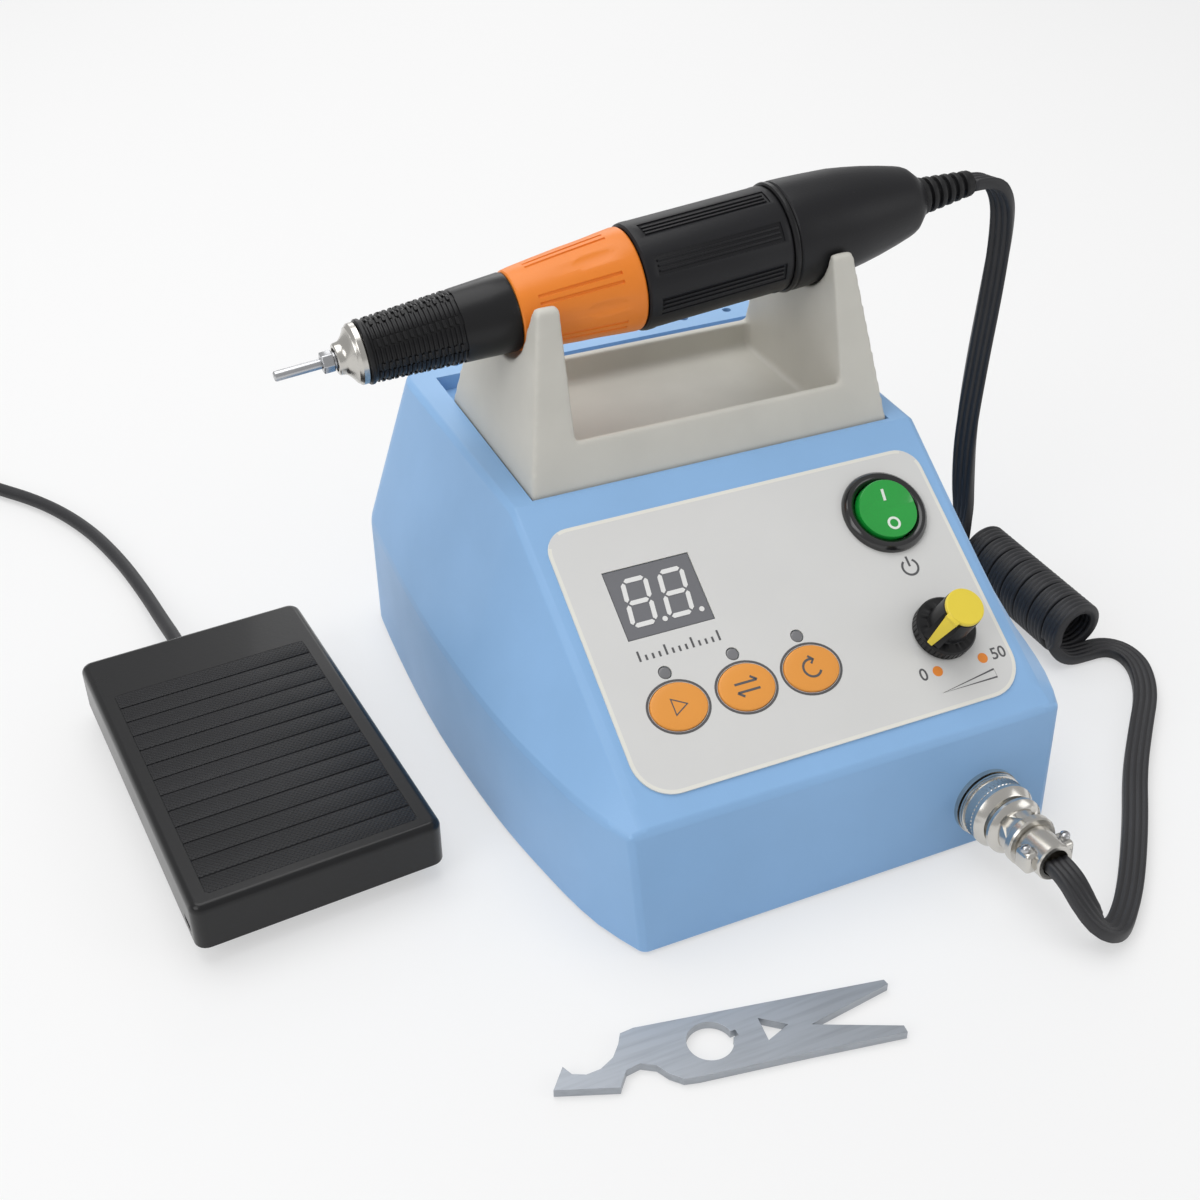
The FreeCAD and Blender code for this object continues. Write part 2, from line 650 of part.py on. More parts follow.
save("end_cap", hand(turn([
    (cap_low_t, 10.2), (cap_low_t, cap_r0 - 0.5), (cap_low_t + 1.0, cap_r0),
    (cap_mid, cap_mid_r), (cap_mid + 9, cap_mid_r - 1.5), (cap_shoulder, cap_shoulder_r),
    (cap_end, cap_end_r), (cap_end, 3.45), (cap_end - 8, 3.45), (cap_end - 14, 7.0),
    (cap_mid, 10.2),
])))
relief = [(cap_end - 7, 0.0), (cap_end - 7, 3.4), (cap_end + 0.1, 3.4), (cap_end + 0.1, relief_r0)]
ridges = 5
step = (relief_end - cap_end - 1.6) / ridges
for k in range(ridges):
    t0 = cap_end + 1.2 + k * step
    r = relief_r0 - (relief_r0 - relief_r1) * k / ridges
    relief += [(t0, r), (t0 + 0.3, r - 0.8), (t0 + 1.0, r - 0.8), (t0 + 1.3, r)]
relief += [(relief_end, relief_r1), (relief_end, 0.0)]
save("strain_relief", hand(turn(relief)))
save("spindle", hand(turn([
    (1.0, 2.05), (1.0, 2.6), (2.3, 2.6), (2.3, 3.1), (30, 3.1), (30, 2.5), (112, 2.5),
    (112, 0.0), (20, 0.0), (20, 2.05),
])))
bearing = [
    turn([(t0, r0 + run_gap), (t0, r1), (t1, r1), (t1, r0 + run_gap)])
    for t0, t1, r0, r1 in (
        (14, 20, 3.1, 4.4), (housing_low, housing_low + 4, 2.5, 4.0), (103.2, 107.0, 2.5, 4.5),
    )
]
save("bearings", hand(group(bearing)))
save("rotor", hand(group([
    turn([(77.5, 2.5), (77.5, 7.0), (96, 7.0), (96, 2.5)]),
    turn([(97, 2.5), (97, 4.2), (102.4, 4.2), (102.4, 2.5)]),
])))
shell = turn([(76.8, 7.4), (76.8, 10.9), (96.6, 10.9), (96.6, 7.4)])
save("field_magnets", hand(shell.cut(Part.makeBox(40, 6, 40, V(70, -3, -20)))))
save("brushes", hand(group([
    Part.makeBox(3.6, 6.4, 3.0, V(98, 4.25, -1.5)), Part.makeBox(3.6, 6.4, 3.0, V(98, -10.65, -1.5)),
])))
save("brush_holder", hand(turn([(103.0, 4.5), (103.0, 10.9), (107.2, 10.9), (107.2, 4.5)])))


# Cords: straight runs joined by arcs, or turns on pairs of arcs
def soft_path(points, tag, first=None, last=None):
    n = len(points)
    edges, radii, here, length = [], [], points[0], 0.0
    for i in range(1, n - 1):
        a, b = points[i - 1] - points[i], points[i + 1] - points[i]
        la, lb = a.Length, b.Length
        a, b = a.normalize(), b.normalize()
        turn_angle = math.pi - math.acos(max(-1, min(1, a.dot(b))))
        reach = 0.45 * min(la, lb)
        radius = reach / math.tan(turn_angle / 2)
        radii.append(radius)
        p0, p2 = points[i] + a * reach, points[i] + b * reach
        axis = (a + b).normalize()
        centre = points[i] + axis * math.hypot(radius, reach)
        p1 = centre - axis * radius
        edges.append(Part.LineSegment(here, p0).toShape())
        edges.append(Part.Arc(p0, p1, p2).toShape())
        here = p2
    edges.append(Part.LineSegment(here, points[-1]).toShape())
    length = sum(e.Length for e in edges)
    print(tag, "length", round(length, 1), "radii", [round(r, 1) for r in radii])
    return edges


def biarc(p0, t0, p1, t1):
    # two arcs that leave p0 along t0 and reach p1 along t1
    v = p1 - p0
    t = t0 + t1
    den = 2 * (1 - t0.dot(t1))
    vt = v.dot(t)
    if den < 1e-9:
        d = v.dot(v) / (4 * v.dot(t1))
    else:
        d = (-vt + math.sqrt(vt * vt + den * v.dot(v))) / den
    joint = (p0 + t0 * d + p1 - t1 * d) * 0.5
    out = []
    for a, tan, b in ((p0, t0, joint), (joint, None, p1)):
        if tan is None:
            tan = (joint - (p0 + t0 * d)).normalize()
        chord = b - a
        side = chord - tan * chord.dot(tan)
        if side.Length < 1e-6:
            out.append(Part.LineSegment(a, b).toShape())
            continue
        side = side.normalize()
        radius = chord.dot(chord) / (2 * chord.dot(side))
        centre = a + side * radius
        mid = (a + b) * 0.5 - centre
        out.append(Part.Arc(a, centre + mid.normalize() * radius, b).toShape())
    return out


def turns_path(places, tangents, tag, d):
    edges = []
    for i in range(len(places) - 1):
        edges += biarc(places[i], tangents[i], places[i + 1], tangents[i + 1])
    pts, marks, run = [], [], 0.0
    for e in edges:
        n = max(3, int(e.Length / 1.5))
        for k in range(n):
            u = e.FirstParameter + (e.LastParameter - e.FirstParameter) * k / n
            pts.append(e.valueAt(u))
            marks.append(run + e.Length * k / n)
        run += e.Length
    least = 1e9
    for i in range(len(pts)):
        for j in range(i + 1, len(pts)):
            if marks[j] - marks[i] > 3.2 * d:
                least = min(least, (pts[i] - pts[j]).Length)
    print(tag, "length", round(run, 1), "least gap to itself", round(least - d, 2))
    return edges


def tube(edges, d, tag):
    start = edges[0].valueAt(edges[0].FirstParameter)
    aim = edges[0].tangentAt(edges[0].FirstParameter)
    ring_wire = Part.Wire([Part.Circle(start, aim, d / 2).toShape()])
    solid = Part.Wire(edges).makePipeShell([ring_wire], True, False)
    want = math.pi * d * d / 4 * sum(e.Length for e in edges)
    if solid.Volume < 0:
        solid.reverse()
    print(tag, "tube volume over section times length", round(solid.Volume / want, 4), solid.isValid())
    return solid


curl_z = curl_r + cord_d / 2 + 0.3
curl_start = P(curl_x - curl_r, curl_back, curl_z)
cord_top = along(relief_end)
hang = cord_top.z - curl_z - cord_d
upper = [cord_top, along(relief_end + 6.0)]
for x, back, share in (
    (93.0, 99.0, 0.047), (94.0, 98.8, 0.144), (93.2, 98.6, 0.297), (91.6, 98.2, 0.487),
    (90.6, 97.6, 0.677), (91.0, 96.2, 0.820), (curl_x - curl_r, curl_back, 0.914),
    (curl_x - curl_r, curl_back, 1.0),
):
    upper.append(P(x, back, cord_top.z - hang * share))
save("handpiece_cord_upper", tube(soft_path(upper, "upper cord"), cord_d, "upper cord"))
places = [curl_start + V(0, 0, cord_d), curl_start]
tangents = [V(0, 0, -1), V(0, 0, -1)]
quarters = int(round(curl_turns * 4))
rise = curl_pitch / (2 * math.pi)
for q in range(1, quarters + 1):
    th = q * math.pi / 2
    ph = math.pi + th
    places.append(P(
        curl_x + curl_r * math.cos(ph), curl_back - rise * th, curl_z + curl_r * math.sin(ph)
    ))
    tangents.append(V(-curl_r * math.sin(ph), -rise, curl_r * math.cos(ph)).normalize())
tangents[-1] = V(1, 0, 0)
curl_end = places[-1]
places.append(curl_end + V(cord_d, 0, 0))
tangents.append(V(1, 0, 0))
curl_edges = turns_path(places, tangents, "curls", cord_d)
save("handpiece_cord_curl", tube(curl_edges, cord_d, "curls"))
cz0 = curl_end.z
plug_tail = front(Part.Vertex(V(0, 0, plug_length)).copy()).Point
plug_out = front(Part.Vertex(V(0, 0, plug_length + 4.5)).copy()).Point
lower = [
    curl_end + V(cord_d, 0, 0), curl_end + V(cord_d + 3.5, 0, 0), P(110.8, 46.6, cz0),
    P(112.2, 42.6, cz0), P(111.2, 36.5, cz0), P(105.5, 27.0, cz0), P(95.0, 16.5, cz0),
    P(82.5, 3.5, cz0), P(71.0, -10.9, cz0), P(58.2, -25.4, cz0), P(50.0, -33.2, cz0),
    P(44.0, -37.5, cz0 + 0.3),
    P(39.0, -38.0, cz0 + 3.4), P(36.2, -34.6, cz0 + 8.6), plug_out, plug_tail,
]
save("handpiece_cord_lower", tube(soft_path(lower, "lower cord"), cord_d, "lower cord"))


# Foot pedal, in its own frame turned a little on the table
def pedal(shape):
    return frame_copy(shape, V(0, 0, 1), pedal_yaw, P(pedal_x, pedal_front, 0))


treadle = rounded(0, pedal_w, 0, pedal_l, skirt_low, pedal_h, 3.0)
top_edges = [e for e in treadle.Edges if e.BoundBox.ZMin > pedal_h - 0.01]
treadle = treadle.makeFillet(1.6, top_edges)
inner_w = pedal_w - pedal_wall
treadle = treadle.cut(lbox(
    pedal_wall, inner_w, pedal_wall, pedal_l - pedal_wall, 0, pedal_h - pedal_wall - 0.4
))
mat_seat = pedal_h - 0.5
treadle = treadle.cut(lbox(4.4, pedal_w - 4.4, 3.8, 81.0, mat_seat, pedal_h + 1))
under = pedal_h - pedal_wall - 0.4
for x in (7.4, pedal_w - 10.4):
    lug = lbox(x, x + 3.0, pin_back - 3.4, pin_back + 3.4, pin_z - 3.2, under)
    treadle = treadle.fuse(lug)
treadle = treadle.cut(Part.makeCylinder(pin_r + run_gap, 40, V(9, pin_back, pin_z), V(1, 0, 0)))
treadle = treadle.cut(Part.makeCylinder(pin_r + run_gap, 50, V(5, pin_back, pin_z), V(1, 0, 0)))
gland_x, gland_z, gland_r = 27.0, 7.0, 3.0
treadle = treadle.cut(lbox(
    gland_x - gland_r - 0.7, gland_x + gland_r + 0.7, pedal_l - 4, pedal_l + 2, 0, gland_z + gland_r + 1.2
))
save("pedal_treadle", pedal(treadle))
mat = lbox(4.6, pedal_w - 4.6, 4.0, 80.8, mat_seat, pedal_h)
for k in range(12):
    y = 9.2 + k * 6.0
    mat = mat.cut(lbox(4.0, pedal_w - 4.0, y, y + 0.5, pedal_h - 0.25, pedal_h + 1))
save("tread_mat", pedal(mat))
bx0, bx1 = pedal_wall + 0.6, inner_w - 0.6
floor_top = 3.1
base = lbox(bx0, bx1, 5.2, pedal_l - pedal_wall - 1.0, 0.9, floor_top)
for x in (4.0, pedal_w - 7.0):
    base = base.fuse(lbox(x, x + 3.0, pin_back - 3.2, pin_back + 3.2, floor_top, pin_z + 2.6))
base = base.fuse(lbox(gland_x - 6, gland_x + 6, pedal_l - 6.2, pedal_l - 3.4, floor_top, gland_z + 3.2))
base = base.cut(Part.makeCylinder(pin_r, 80, V(0, pin_back, pin_z), V(1, 0, 0)))
save("pedal_base", pedal(base))
save("pedal_pin", pedal(Part.makeCylinder(pin_r, pedal_w - 8, V(4, pin_back, pin_z), V(1, 0, 0))))
save("pedal_feet", pedal(group([
    lrod(4.0, x, y, 0, 0.9) for x in (9, pedal_w - 9) for y in (12, 86)
])))
micro = lbox(23, 37, 50, 60, floor_top, 9.4).fuse(lrod(1.2, 30, 55, 9.4, 12.0))
save("pedal_switch", pedal(micro))
spring_d, spring_r, spring_turns = 0.9, 3.6, 5
spring_low, spring_high = floor_top + spring_d / 2, under - spring_d / 2
places, tangents = [], []
rise = (spring_high - spring_low) / (spring_turns * 2 * math.pi)
for q in range(spring_turns * 4 + 1):
    th = q * math.pi / 2
    places.append(V(29 + spring_r * math.cos(th), 30 + spring_r * math.sin(th), spring_low + rise * th))
    tangents.append(V(-spring_r * math.sin(th), spring_r * math.cos(th), rise).normalize())
save("pedal_spring", pedal(tube(turns_path(places, tangents, "pedal spring", spring_d), spring_d, "pedal spring")))
gland = Part.makeCylinder(gland_r, 6.4, V(gland_x, pedal_l - 3.4, gland_z), V(0, 1, 0))
save("pedal_gland", pedal(gland))

# Pedal cord: on the table to the left, then coiled, with its plug
gland_end = pedal(Part.Vertex(V(gland_x, pedal_l + 3.0, gland_z))).Point
gland_out = pedal(Part.Vertex(V(gland_x, pedal_l + 12.0, gland_z))).Point
lay = pedal_cord_d / 2 + 0.15
coil_r0 = coil_mid_r + coil_pitch * coil_turns / 2
way = [
    gland_end, gland_out, P(-123.6, 161.0, 4.6), P(-125.4, 182.0, lay), P(-128.8, 202.0, lay),
    P(-134.8, 224.0, lay), P(-145.0, 245.0, lay), P(-160.5, 263.5, lay), P(-172.0, 283.0, lay),
    P(-186.0, 295.0, lay), P(coil_x + 15.0, coil_back + coil_r0, lay),
    P(coil_x + pedal_cord_d, coil_back + coil_r0, lay),
]
save("pedal_cord", tube(soft_path(way, "pedal cord"), pedal_cord_d, "pedal cord"))
in_turns = coil_turns - 0.25
climb = 0.5
total_turns = 2 * in_turns + climb


def coil_point(turned):
    if turned <= in_turns:
        r, z = coil_r0 - coil_pitch * turned, 0.0
    elif turned <= in_turns + climb:
        s = (turned - in_turns) / climb
        r, z = coil_r0 - coil_pitch * in_turns, s * s * (3 - 2 * s)
    else:
        back_turns = turned - in_turns - climb
        r, z = coil_r0 - coil_pitch * (in_turns - back_turns), 1.0
    a = math.pi / 2 + turned * 2 * math.pi
    return P(coil_x + r * math.cos(a), coil_back + r * math.sin(a), lay + coil_step * z)


places = [coil_point(0) + V(pedal_cord_d, 0, 0)]
tangents = [V(-1, 0, 0)]
steps = int(round(total_turns * 4))
for q in range(steps + 1):
    u = total_turns * q / steps
    places.append(coil_point(u))
    ahead = coil_point(min(total_turns, u + 0.004))
    behind = coil_point(max(0.0, u - 0.004))
    tangents.append((ahead - behind).normalize())
tangents[1] = V(-1, 0, 0)
tangents[-1] = V(-1, 0, 0)
places.append(places[-1] + V(-coil_tail, 0, 0))
tangents.append(V(-1, 0, 0))
save("pedal_cord_coil", tube(turns_path(places, tangents, "pedal coil", pedal_cord_d), pedal_cord_d, "pedal coil"))
tail = places[-1]


def xrod(r, x0, x1):
    return Part.makeCylinder(r, abs(x1 - x0), tail + V(-x0, 0, 0), V(-1, 0, 0))


plug_r = tail.z - 0.05
jack_plug = Part.makeCone(3.0, plug_r, 5.0, tail, V(-1, 0, 0))
jack_plug = jack_plug.fuse(xrod(plug_r, 5, 24)).fuse(xrod(jack_bore_r - 0.1, 24, 46))
jack_plug = jack_plug.fuse(Part.makeCone(jack_bore_r - 0.1, 1.2, 4.0, tail + V(-46, 0, 0), V(-1, 0, 0)))
save("pedal_plug", jack_plug)

# Wrench: flat plate with a foot, a keyed hole, a triangle and a forked end
wrench_points = [
    (-84.5, -26.2), (-80.6, -21.6), (-79.6, -24.0), (-77.0, -25.3), (-73.8, -25.2),
    (-70.4, -23.6), (-68.0, -20.9), (-66.6, -18.6), (-63.5, -18.4), (-30.0, -24.6),
    (-9.6, -28.4), (-9.4, -29.8), (-29.6, -32.6), (-12.4, -40.6), (-12.6, -42.4),
    (-33.0, -38.8), (-56.6, -35.0), (-59.6, -34.2), (-61.8, -31.8), (-63.2, -29.0),
    (-66.0, -27.2), (-69.2, -27.6), (-71.4, -30.2), (-72.0, -31.0),
]
blank = plate([P(x, y, 0.05) for x, y in wrench_points], V(0, 0, wrench_thick))
blank = blank.cut(rod(4.9, 5, P(-50.6, -27.9, -1)))
blank = blank.cut(box(-46.6, -44.6, -29.0, -27.4, -1, 4))
blank = blank.cut(plate([P(-38.9, -26.6, -1), P(-34.0, -30.6, -1), P(-39.6, -32.6, -1)], V(0, 0, 5)))
save("wrench", blank)
print("wrench", blank.isValid(), len(blank.Solids), "nodes", len(os.listdir("parts")))
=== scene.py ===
import bpy
import bmesh
import math
from mathutils import Matrix, Vector


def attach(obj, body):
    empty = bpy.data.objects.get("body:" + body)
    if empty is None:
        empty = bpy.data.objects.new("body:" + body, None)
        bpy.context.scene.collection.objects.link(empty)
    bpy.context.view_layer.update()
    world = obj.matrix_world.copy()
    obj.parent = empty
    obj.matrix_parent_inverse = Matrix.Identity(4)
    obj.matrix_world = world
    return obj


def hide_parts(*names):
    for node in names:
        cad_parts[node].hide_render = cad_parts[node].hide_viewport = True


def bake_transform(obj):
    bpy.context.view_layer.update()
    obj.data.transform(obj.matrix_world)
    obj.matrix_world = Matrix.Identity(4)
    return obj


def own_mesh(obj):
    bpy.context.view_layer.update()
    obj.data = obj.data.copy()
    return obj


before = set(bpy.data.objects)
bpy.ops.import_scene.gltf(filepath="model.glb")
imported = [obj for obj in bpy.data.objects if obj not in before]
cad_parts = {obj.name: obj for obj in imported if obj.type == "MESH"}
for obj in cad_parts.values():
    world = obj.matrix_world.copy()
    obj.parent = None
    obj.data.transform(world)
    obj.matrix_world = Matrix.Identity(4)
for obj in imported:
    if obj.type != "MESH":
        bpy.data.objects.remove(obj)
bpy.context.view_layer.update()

# Studio: a camera at the photograph's angle, a pale table, soft boxes above,
# and a background that is white only for camera, mirror and glass rays.


def new_object(name, data):
    # an object of the scene that holds the data
    made = bpy.data.objects.new(name, data)
    bpy.context.scene.collection.objects.link(made)
    return made


def wire(tree, source, target):
    tree.links.new(source, target)


def add_node(tree, kind, inputs=(), **settings):
    # a shader node with its settings and the values of its unlinked inputs
    node = tree.nodes.new("ShaderNode" + kind)
    for key, value in settings.items():
        setattr(node, key, value)
    for socket, value in dict(inputs).items():
        node.inputs[socket].default_value = value
    return node


cam_data = bpy.data.cameras.new("studio_camera")
cam_data.lens = 48.0
cam_data.sensor_width = 36.0
cam_data.clip_start = 0.01
camera = new_object("studio_camera", cam_data)
az, el, roll = math.radians(-23.63), math.radians(34.99), math.radians(-0.37)
cam_back = Vector((math.sin(az) * math.cos(el), -math.cos(az) * math.cos(el), math.sin(el)))
cam_right = (-cam_back).cross(Vector((0, 0, 1))).normalized()
cam_up = cam_right.cross(-cam_back).normalized()
side = math.cos(roll) * cam_right + math.sin(roll) * cam_up
top = math.cos(roll) * cam_up - math.sin(roll) * cam_right
turned_axes = Matrix((side, top, cam_back)).transposed().to_4x4()
camera.matrix_world = Matrix.Translation((-0.1571, -0.2937, 0.2629)) @ turned_axes
bpy.context.scene.camera = camera

bpy.ops.object.select_all(action="DESELECT")
bpy.ops.mesh.primitive_plane_add(size=6.0, location=(0, 0, -0.0002))
table_top = bpy.context.active_object
table_top.name = "studio_table"
table_paint = bpy.data.materials.new("studio_table_white")
table_paint.use_nodes = True
nt = table_paint.node_tree
table_shader = nt.nodes["Principled BSDF"]
table_shader.inputs["Base Color"].default_value = (0.86, 0.86, 0.86, 1)
table_shader.inputs["Roughness"].default_value = 0.9
table_shader.inputs["Specular IOR Level"].default_value = 0.1
glow = add_node(nt, "Emission", {"Color": (1, 1, 1, 1)})
rays = add_node(nt, "LightPath")
either = add_node(nt, "Math", operation="MAXIMUM")
wire(nt, rays.outputs["Is Camera Ray"], either.inputs[0])
wire(nt, rays.outputs["Is Glossy Ray"], either.inputs[1])
part_of = add_node(nt, "Math", {1: 0.5}, operation="MULTIPLY")
wire(nt, either.outputs[0], part_of.inputs[0])
blend_table = add_node(nt, "MixShader")
wire(nt, part_of.outputs[0], blend_table.inputs["Fac"])
wire(nt, table_shader.outputs[0], blend_table.inputs[1])
wire(nt, glow.outputs[0], blend_table.inputs[2])
wire(nt, blend_table.outputs[0], nt.nodes["Material Output"].inputs["Surface"])
table_top.data.materials.append(table_paint)

world = bpy.data.worlds.new("studio_air")
bpy.context.scene.world = world
world.use_nodes = True
air = world.node_tree
air_light = air.nodes["Background"]
air_light.inputs["Color"].default_value = (1, 1, 1, 1)
air_light.inputs["Strength"].default_value = 0.50
air_seen = add_node(air, "Background", {"Color": (1, 1, 1, 1), "Strength": 1.0})
air_rays = add_node(air, "LightPath")
seen = add_node(air, "Math", operation="MAXIMUM")
wire(air, air_rays.outputs["Is Camera Ray"], seen.inputs[0])
wire(air, air_rays.outputs["Is Transmission Ray"], seen.inputs[1])
air_mix = add_node(air, "MixShader")
wire(air, seen.outputs[0], air_mix.inputs["Fac"])
wire(air, air_light.outputs[0], air_mix.inputs[1])
wire(air, air_seen.outputs[0], air_mix.inputs[2])
wire(air, air_mix.outputs[0], air.nodes["World Output"].inputs["Surface"])

for lamp_name, place, size, power in (
    ("soft_box_top", (-0.15, 0.25, 1.0), 0.9, 5.2),
    ("soft_box_left", (-1.0, -0.4, 0.75), 0.7, 3.4),
    ("soft_box_right", (0.95, -0.75, 0.55), 0.6, 1.5),
    ("strip_behind", (0.3, 1.0, 0.5), 0.5, 1.2),
):
    lamp = bpy.data.lights.new(lamp_name, "AREA")
    lamp.shape = "SQUARE"
    lamp.size = size
    lamp.energy = power
    lamp_obj = new_object(lamp_name, lamp)
    aim = Vector((0, 0, 0.04)) - Vector(place)
    lamp_obj.matrix_world = Matrix.Translation(place) @ aim.to_track_quat("-Z",
                                                                          "Y").to_matrix().to_4x4()

bpy.context.scene.view_settings.view_transform = "Standard"

# Handpiece cord: one flat lead of four ribs in soft black sheath, hanging from
# the strain relief, wound into springy curls and lying on the table to its plug.
FRONT_EDGE = -77.0


def at(x, back, z):
    return Vector((x, back + FRONT_EDGE, z)) * 0.001


def spline_line(name, points):
    # the smooth line of a cord, a spline with the route's points as its controls
    curve = bpy.data.curves.new(name, "CURVE")
    curve.dimensions = "3D"
    curve.resolution_u = 8
    line = curve.splines.new("NURBS")
    line.points.add(len(points) - 1)
    for spot, p in zip(line.points, points):
        spot.co = (p.x, p.y, p.z, 1)
    line.order_u = 3
    line.use_endpoint_u = True
    return curve


def read_line(curve):
    bare = bpy.data.objects.new("line_reader", curve)
    mesh = bpy.data.meshes.new_from_object(bare)
    spots = [v.co.copy() for v in mesh.vertices]
    bpy.data.meshes.remove(mesh)
    bpy.data.objects.remove(bare)
    return spots


HAND_TILT = math.radians(5.14)
HAND_AXIS = Vector((math.cos(HAND_TILT), 0, math.sin(HAND_TILT)))
HAND_NOSE = at(-82.2, 99.2, 104.4)
curl_r, curl_pitch, curl_turns = 7.1, 6.3, 7.25
curl_x, curl_back, curl_z = 98.6, 94.5, 8.9
route = [
    HAND_NOSE + HAND_AXIS * 0.165, HAND_NOSE + HAND_AXIS * 0.171,
    at(93.0, 99.0, 114.2), at(94.0, 98.8, 104.0), at(93.2, 98.6, 88.0), at(91.6, 98.2, 68.0),
    at(90.6, 97.6, 48.0), at(91.0, 96.2, 33.0),
    at(curl_x - curl_r, curl_back, curl_z + 14.2), at(curl_x - curl_r, curl_back, curl_z + 5.2),
]
steps = round(curl_turns * 12)
for k in range(steps):
    th = math.radians(15 + 30 * k)
    wide = curl_r / math.cos(math.radians(15))
    route.append(at(
        curl_x - wide * math.cos(th), curl_back - curl_pitch * th / (2 * math.pi),
        curl_z - wide * math.sin(th),
    ))
low = 1.75
end_back = curl_back - curl_pitch * curl_turns
route += [
    at(curl_x + 1.9, end_back, low), at(curl_x + 8.7, end_back, low),
    at(110.8, 46.6, low), at(112.2, 42.6, low), at(111.2, 36.5, low), at(105.5, 27.0, low),
    at(95.0, 16.5, low), at(82.5, 3.5, low), at(71.0, -10.9, low), at(58.2, -25.4, low),
    at(50.0, -33.2, low), at(44.0, -37.5, low + 0.4), at(39.0, -38.0, low + 3.6),
    at(36.2, -34.6, low + 9.0),
]
front_lean = math.atan((8.8 - (35.4 - 32.2) / math.tan(math.radians(31.75))) / 32.2)
SOCKET = at(35.3, 11.8 * math.tan(front_lean), 11.8)
SOCKET_OUT = Vector((0, -math.cos(front_lean), math.sin(front_lean)))
route += [SOCKET + SOCKET_OUT * 0.0305, SOCKET + SOCKET_OUT * 0.026]
hand_line = read_line(spline_line("handpiece_cord_line", route))

ribs, rib_width, rib_rise, web = 4, 1.5, 0.78, 0.72
section = []
for s in (1, -1):
    for k in range(ribs):
        for j in range(6):
            t = -1 + 2 * (j + 0.5) / 6
            w = (-ribs / 2 + k + 0.5 + t / 2) * rib_width
            section.append((s * w, s * (web + rib_rise * math.sqrt(1 - t * t))))
cord_mesh = bmesh.new()
rings = []
run = [0.0]
for a, b in zip(hand_line, hand_line[1:]):
    run.append(run[-1] + (b - a).length)
cord_rings = 520
hang_length, curls_length = 0.105, 0.33
marks = [run[-1] * k / cord_rings for k in range(cord_rings + 1)]
spot_no = 0
for mark in marks:
    while spot_no < len(run) - 2 and run[spot_no + 1] < mark:
        spot_no += 1
    a, b = hand_line[spot_no], hand_line[spot_no + 1]
    p = a.lerp(b, (mark - run[spot_no]) / max(1e-9, run[spot_no + 1] - run[spot_no]))
    before = hand_line[max(0, spot_no - 1)]
    after = hand_line[min(len(hand_line) - 1, spot_no + 2)]
    tan = (after - before).normalized()
    if mark < hang_length:
        # the hanging stretch turns its flat side forwards, then back again
        swing = math.radians(62) * math.sin(math.pi * mark / hang_length) ** 0.7
        across = Vector((-math.sin(swing), math.cos(swing), 0))
    elif mark < hang_length + curls_length:
        across = Vector((0, 1, 0))
    else:
        across = Vector((0, 0, 1)).cross(tan)
    across = (across - tan * across.dot(tan)).normalized()
    thin = tan.cross(across)
    rings.append([cord_mesh.verts.new(p + (across * w + thin * n) * 0.001) for w, n in section])
for r0, r1 in zip(rings, rings[1:]):
    for k in range(len(section)):
        m = (k + 1) % len(section)
        cord_mesh.faces.new((r0[k], r0[m], r1[m], r1[k]))
cord_mesh.faces.new(list(reversed(rings[0])))
cord_mesh.faces.new(rings[-1])
bmesh.ops.recalc_face_normals(cord_mesh, faces=cord_mesh.faces)
cord_data = bpy.data.meshes.new("handpiece_cord_sheath")
cord_mesh.to_mesh(cord_data)
cord_mesh.free()
hand_cord = new_object("handpiece_cord_sheath", cord_data)
for face in cord_data.polygons:
    face.use_smooth = True


def effect(name, sockets):
    # an empty shader group with named inputs and outputs
    group = bpy.data.node_groups.new(name, "ShaderNodeTree")
    for label, way, kind, value in sockets:
        socket = group.interface.new_socket(name=label, in_out=way, socket_type=kind)
        if value is not None:
            socket.default_value = value
    return group, group.nodes.new("NodeGroupInput"), group.nodes.new("NodeGroupOutput")


# moulded_skin: the slight mottle, pores and dust of a moulded surface
moulded_skin, skin_in, skin_out = effect("moulded_skin", (
    ("Colour", "INPUT", "NodeSocketColor", (0.5, 0.5, 0.5, 1)),
    ("Mottle", "INPUT", "NodeSocketFloat", 0.06),
    ("Grain per metre", "INPUT", "NodeSocketFloat", 2600.0),
    ("Roughness", "INPUT", "NodeSocketFloat", 0.45),
    ("Dust", "INPUT", "NodeSocketFloat", 0.03),
    ("Colour", "OUTPUT", "NodeSocketColor", None),
    ("Roughness", "OUTPUT", "NodeSocketFloat", None),
    ("Height", "OUTPUT", "NodeSocketFloat", None),
))
g = moulded_skin
where = add_node(g, "TexCoord")
grain = add_node(g, "TexNoise", {"Detail": 3.0})
cloud = add_node(g, "TexNoise", {"Scale": 38.0, "Detail": 4.0})
specks = add_node(g, "TexVoronoi", {"Scale": 420.0})
wire(g, where.outputs["Object"], grain.inputs["Vector"])
wire(g, where.outputs["Object"], cloud.inputs["Vector"])
wire(g, where.outputs["Object"], specks.inputs["Vector"])
wire(g, skin_in.outputs["Grain per metre"], grain.inputs["Scale"])
shade = add_node(g, "MapRange", {"From Min": 0.35, "From Max": 0.65, "To Min": 1.0})
wire(g, cloud.outputs["Fac"], shade.inputs["Value"])
less = add_node(g, "Math", {0: 1.0}, operation="SUBTRACT")
wire(g, skin_in.outputs["Mottle"], less.inputs[1])
wire(g, less.outputs[0], shade.inputs["To Max"])
tone = add_node(g, "VectorMath", operation="SCALE")
wire(g, skin_in.outputs["Colour"], tone.inputs[0])
wire(g, shade.outputs["Result"], tone.inputs["Scale"])
fleck = add_node(g, "MapRange", {"From Min": 0.0, "From Max": 0.09, "To Min": 1.0, "To Max": 0.0})
wire(g, specks.outputs["Distance"], fleck.inputs["Value"])
dust = add_node(g, "Math", operation="MULTIPLY")
wire(g, fleck.outputs["Result"], dust.inputs[0])
wire(g, skin_in.outputs["Dust"], dust.inputs[1])
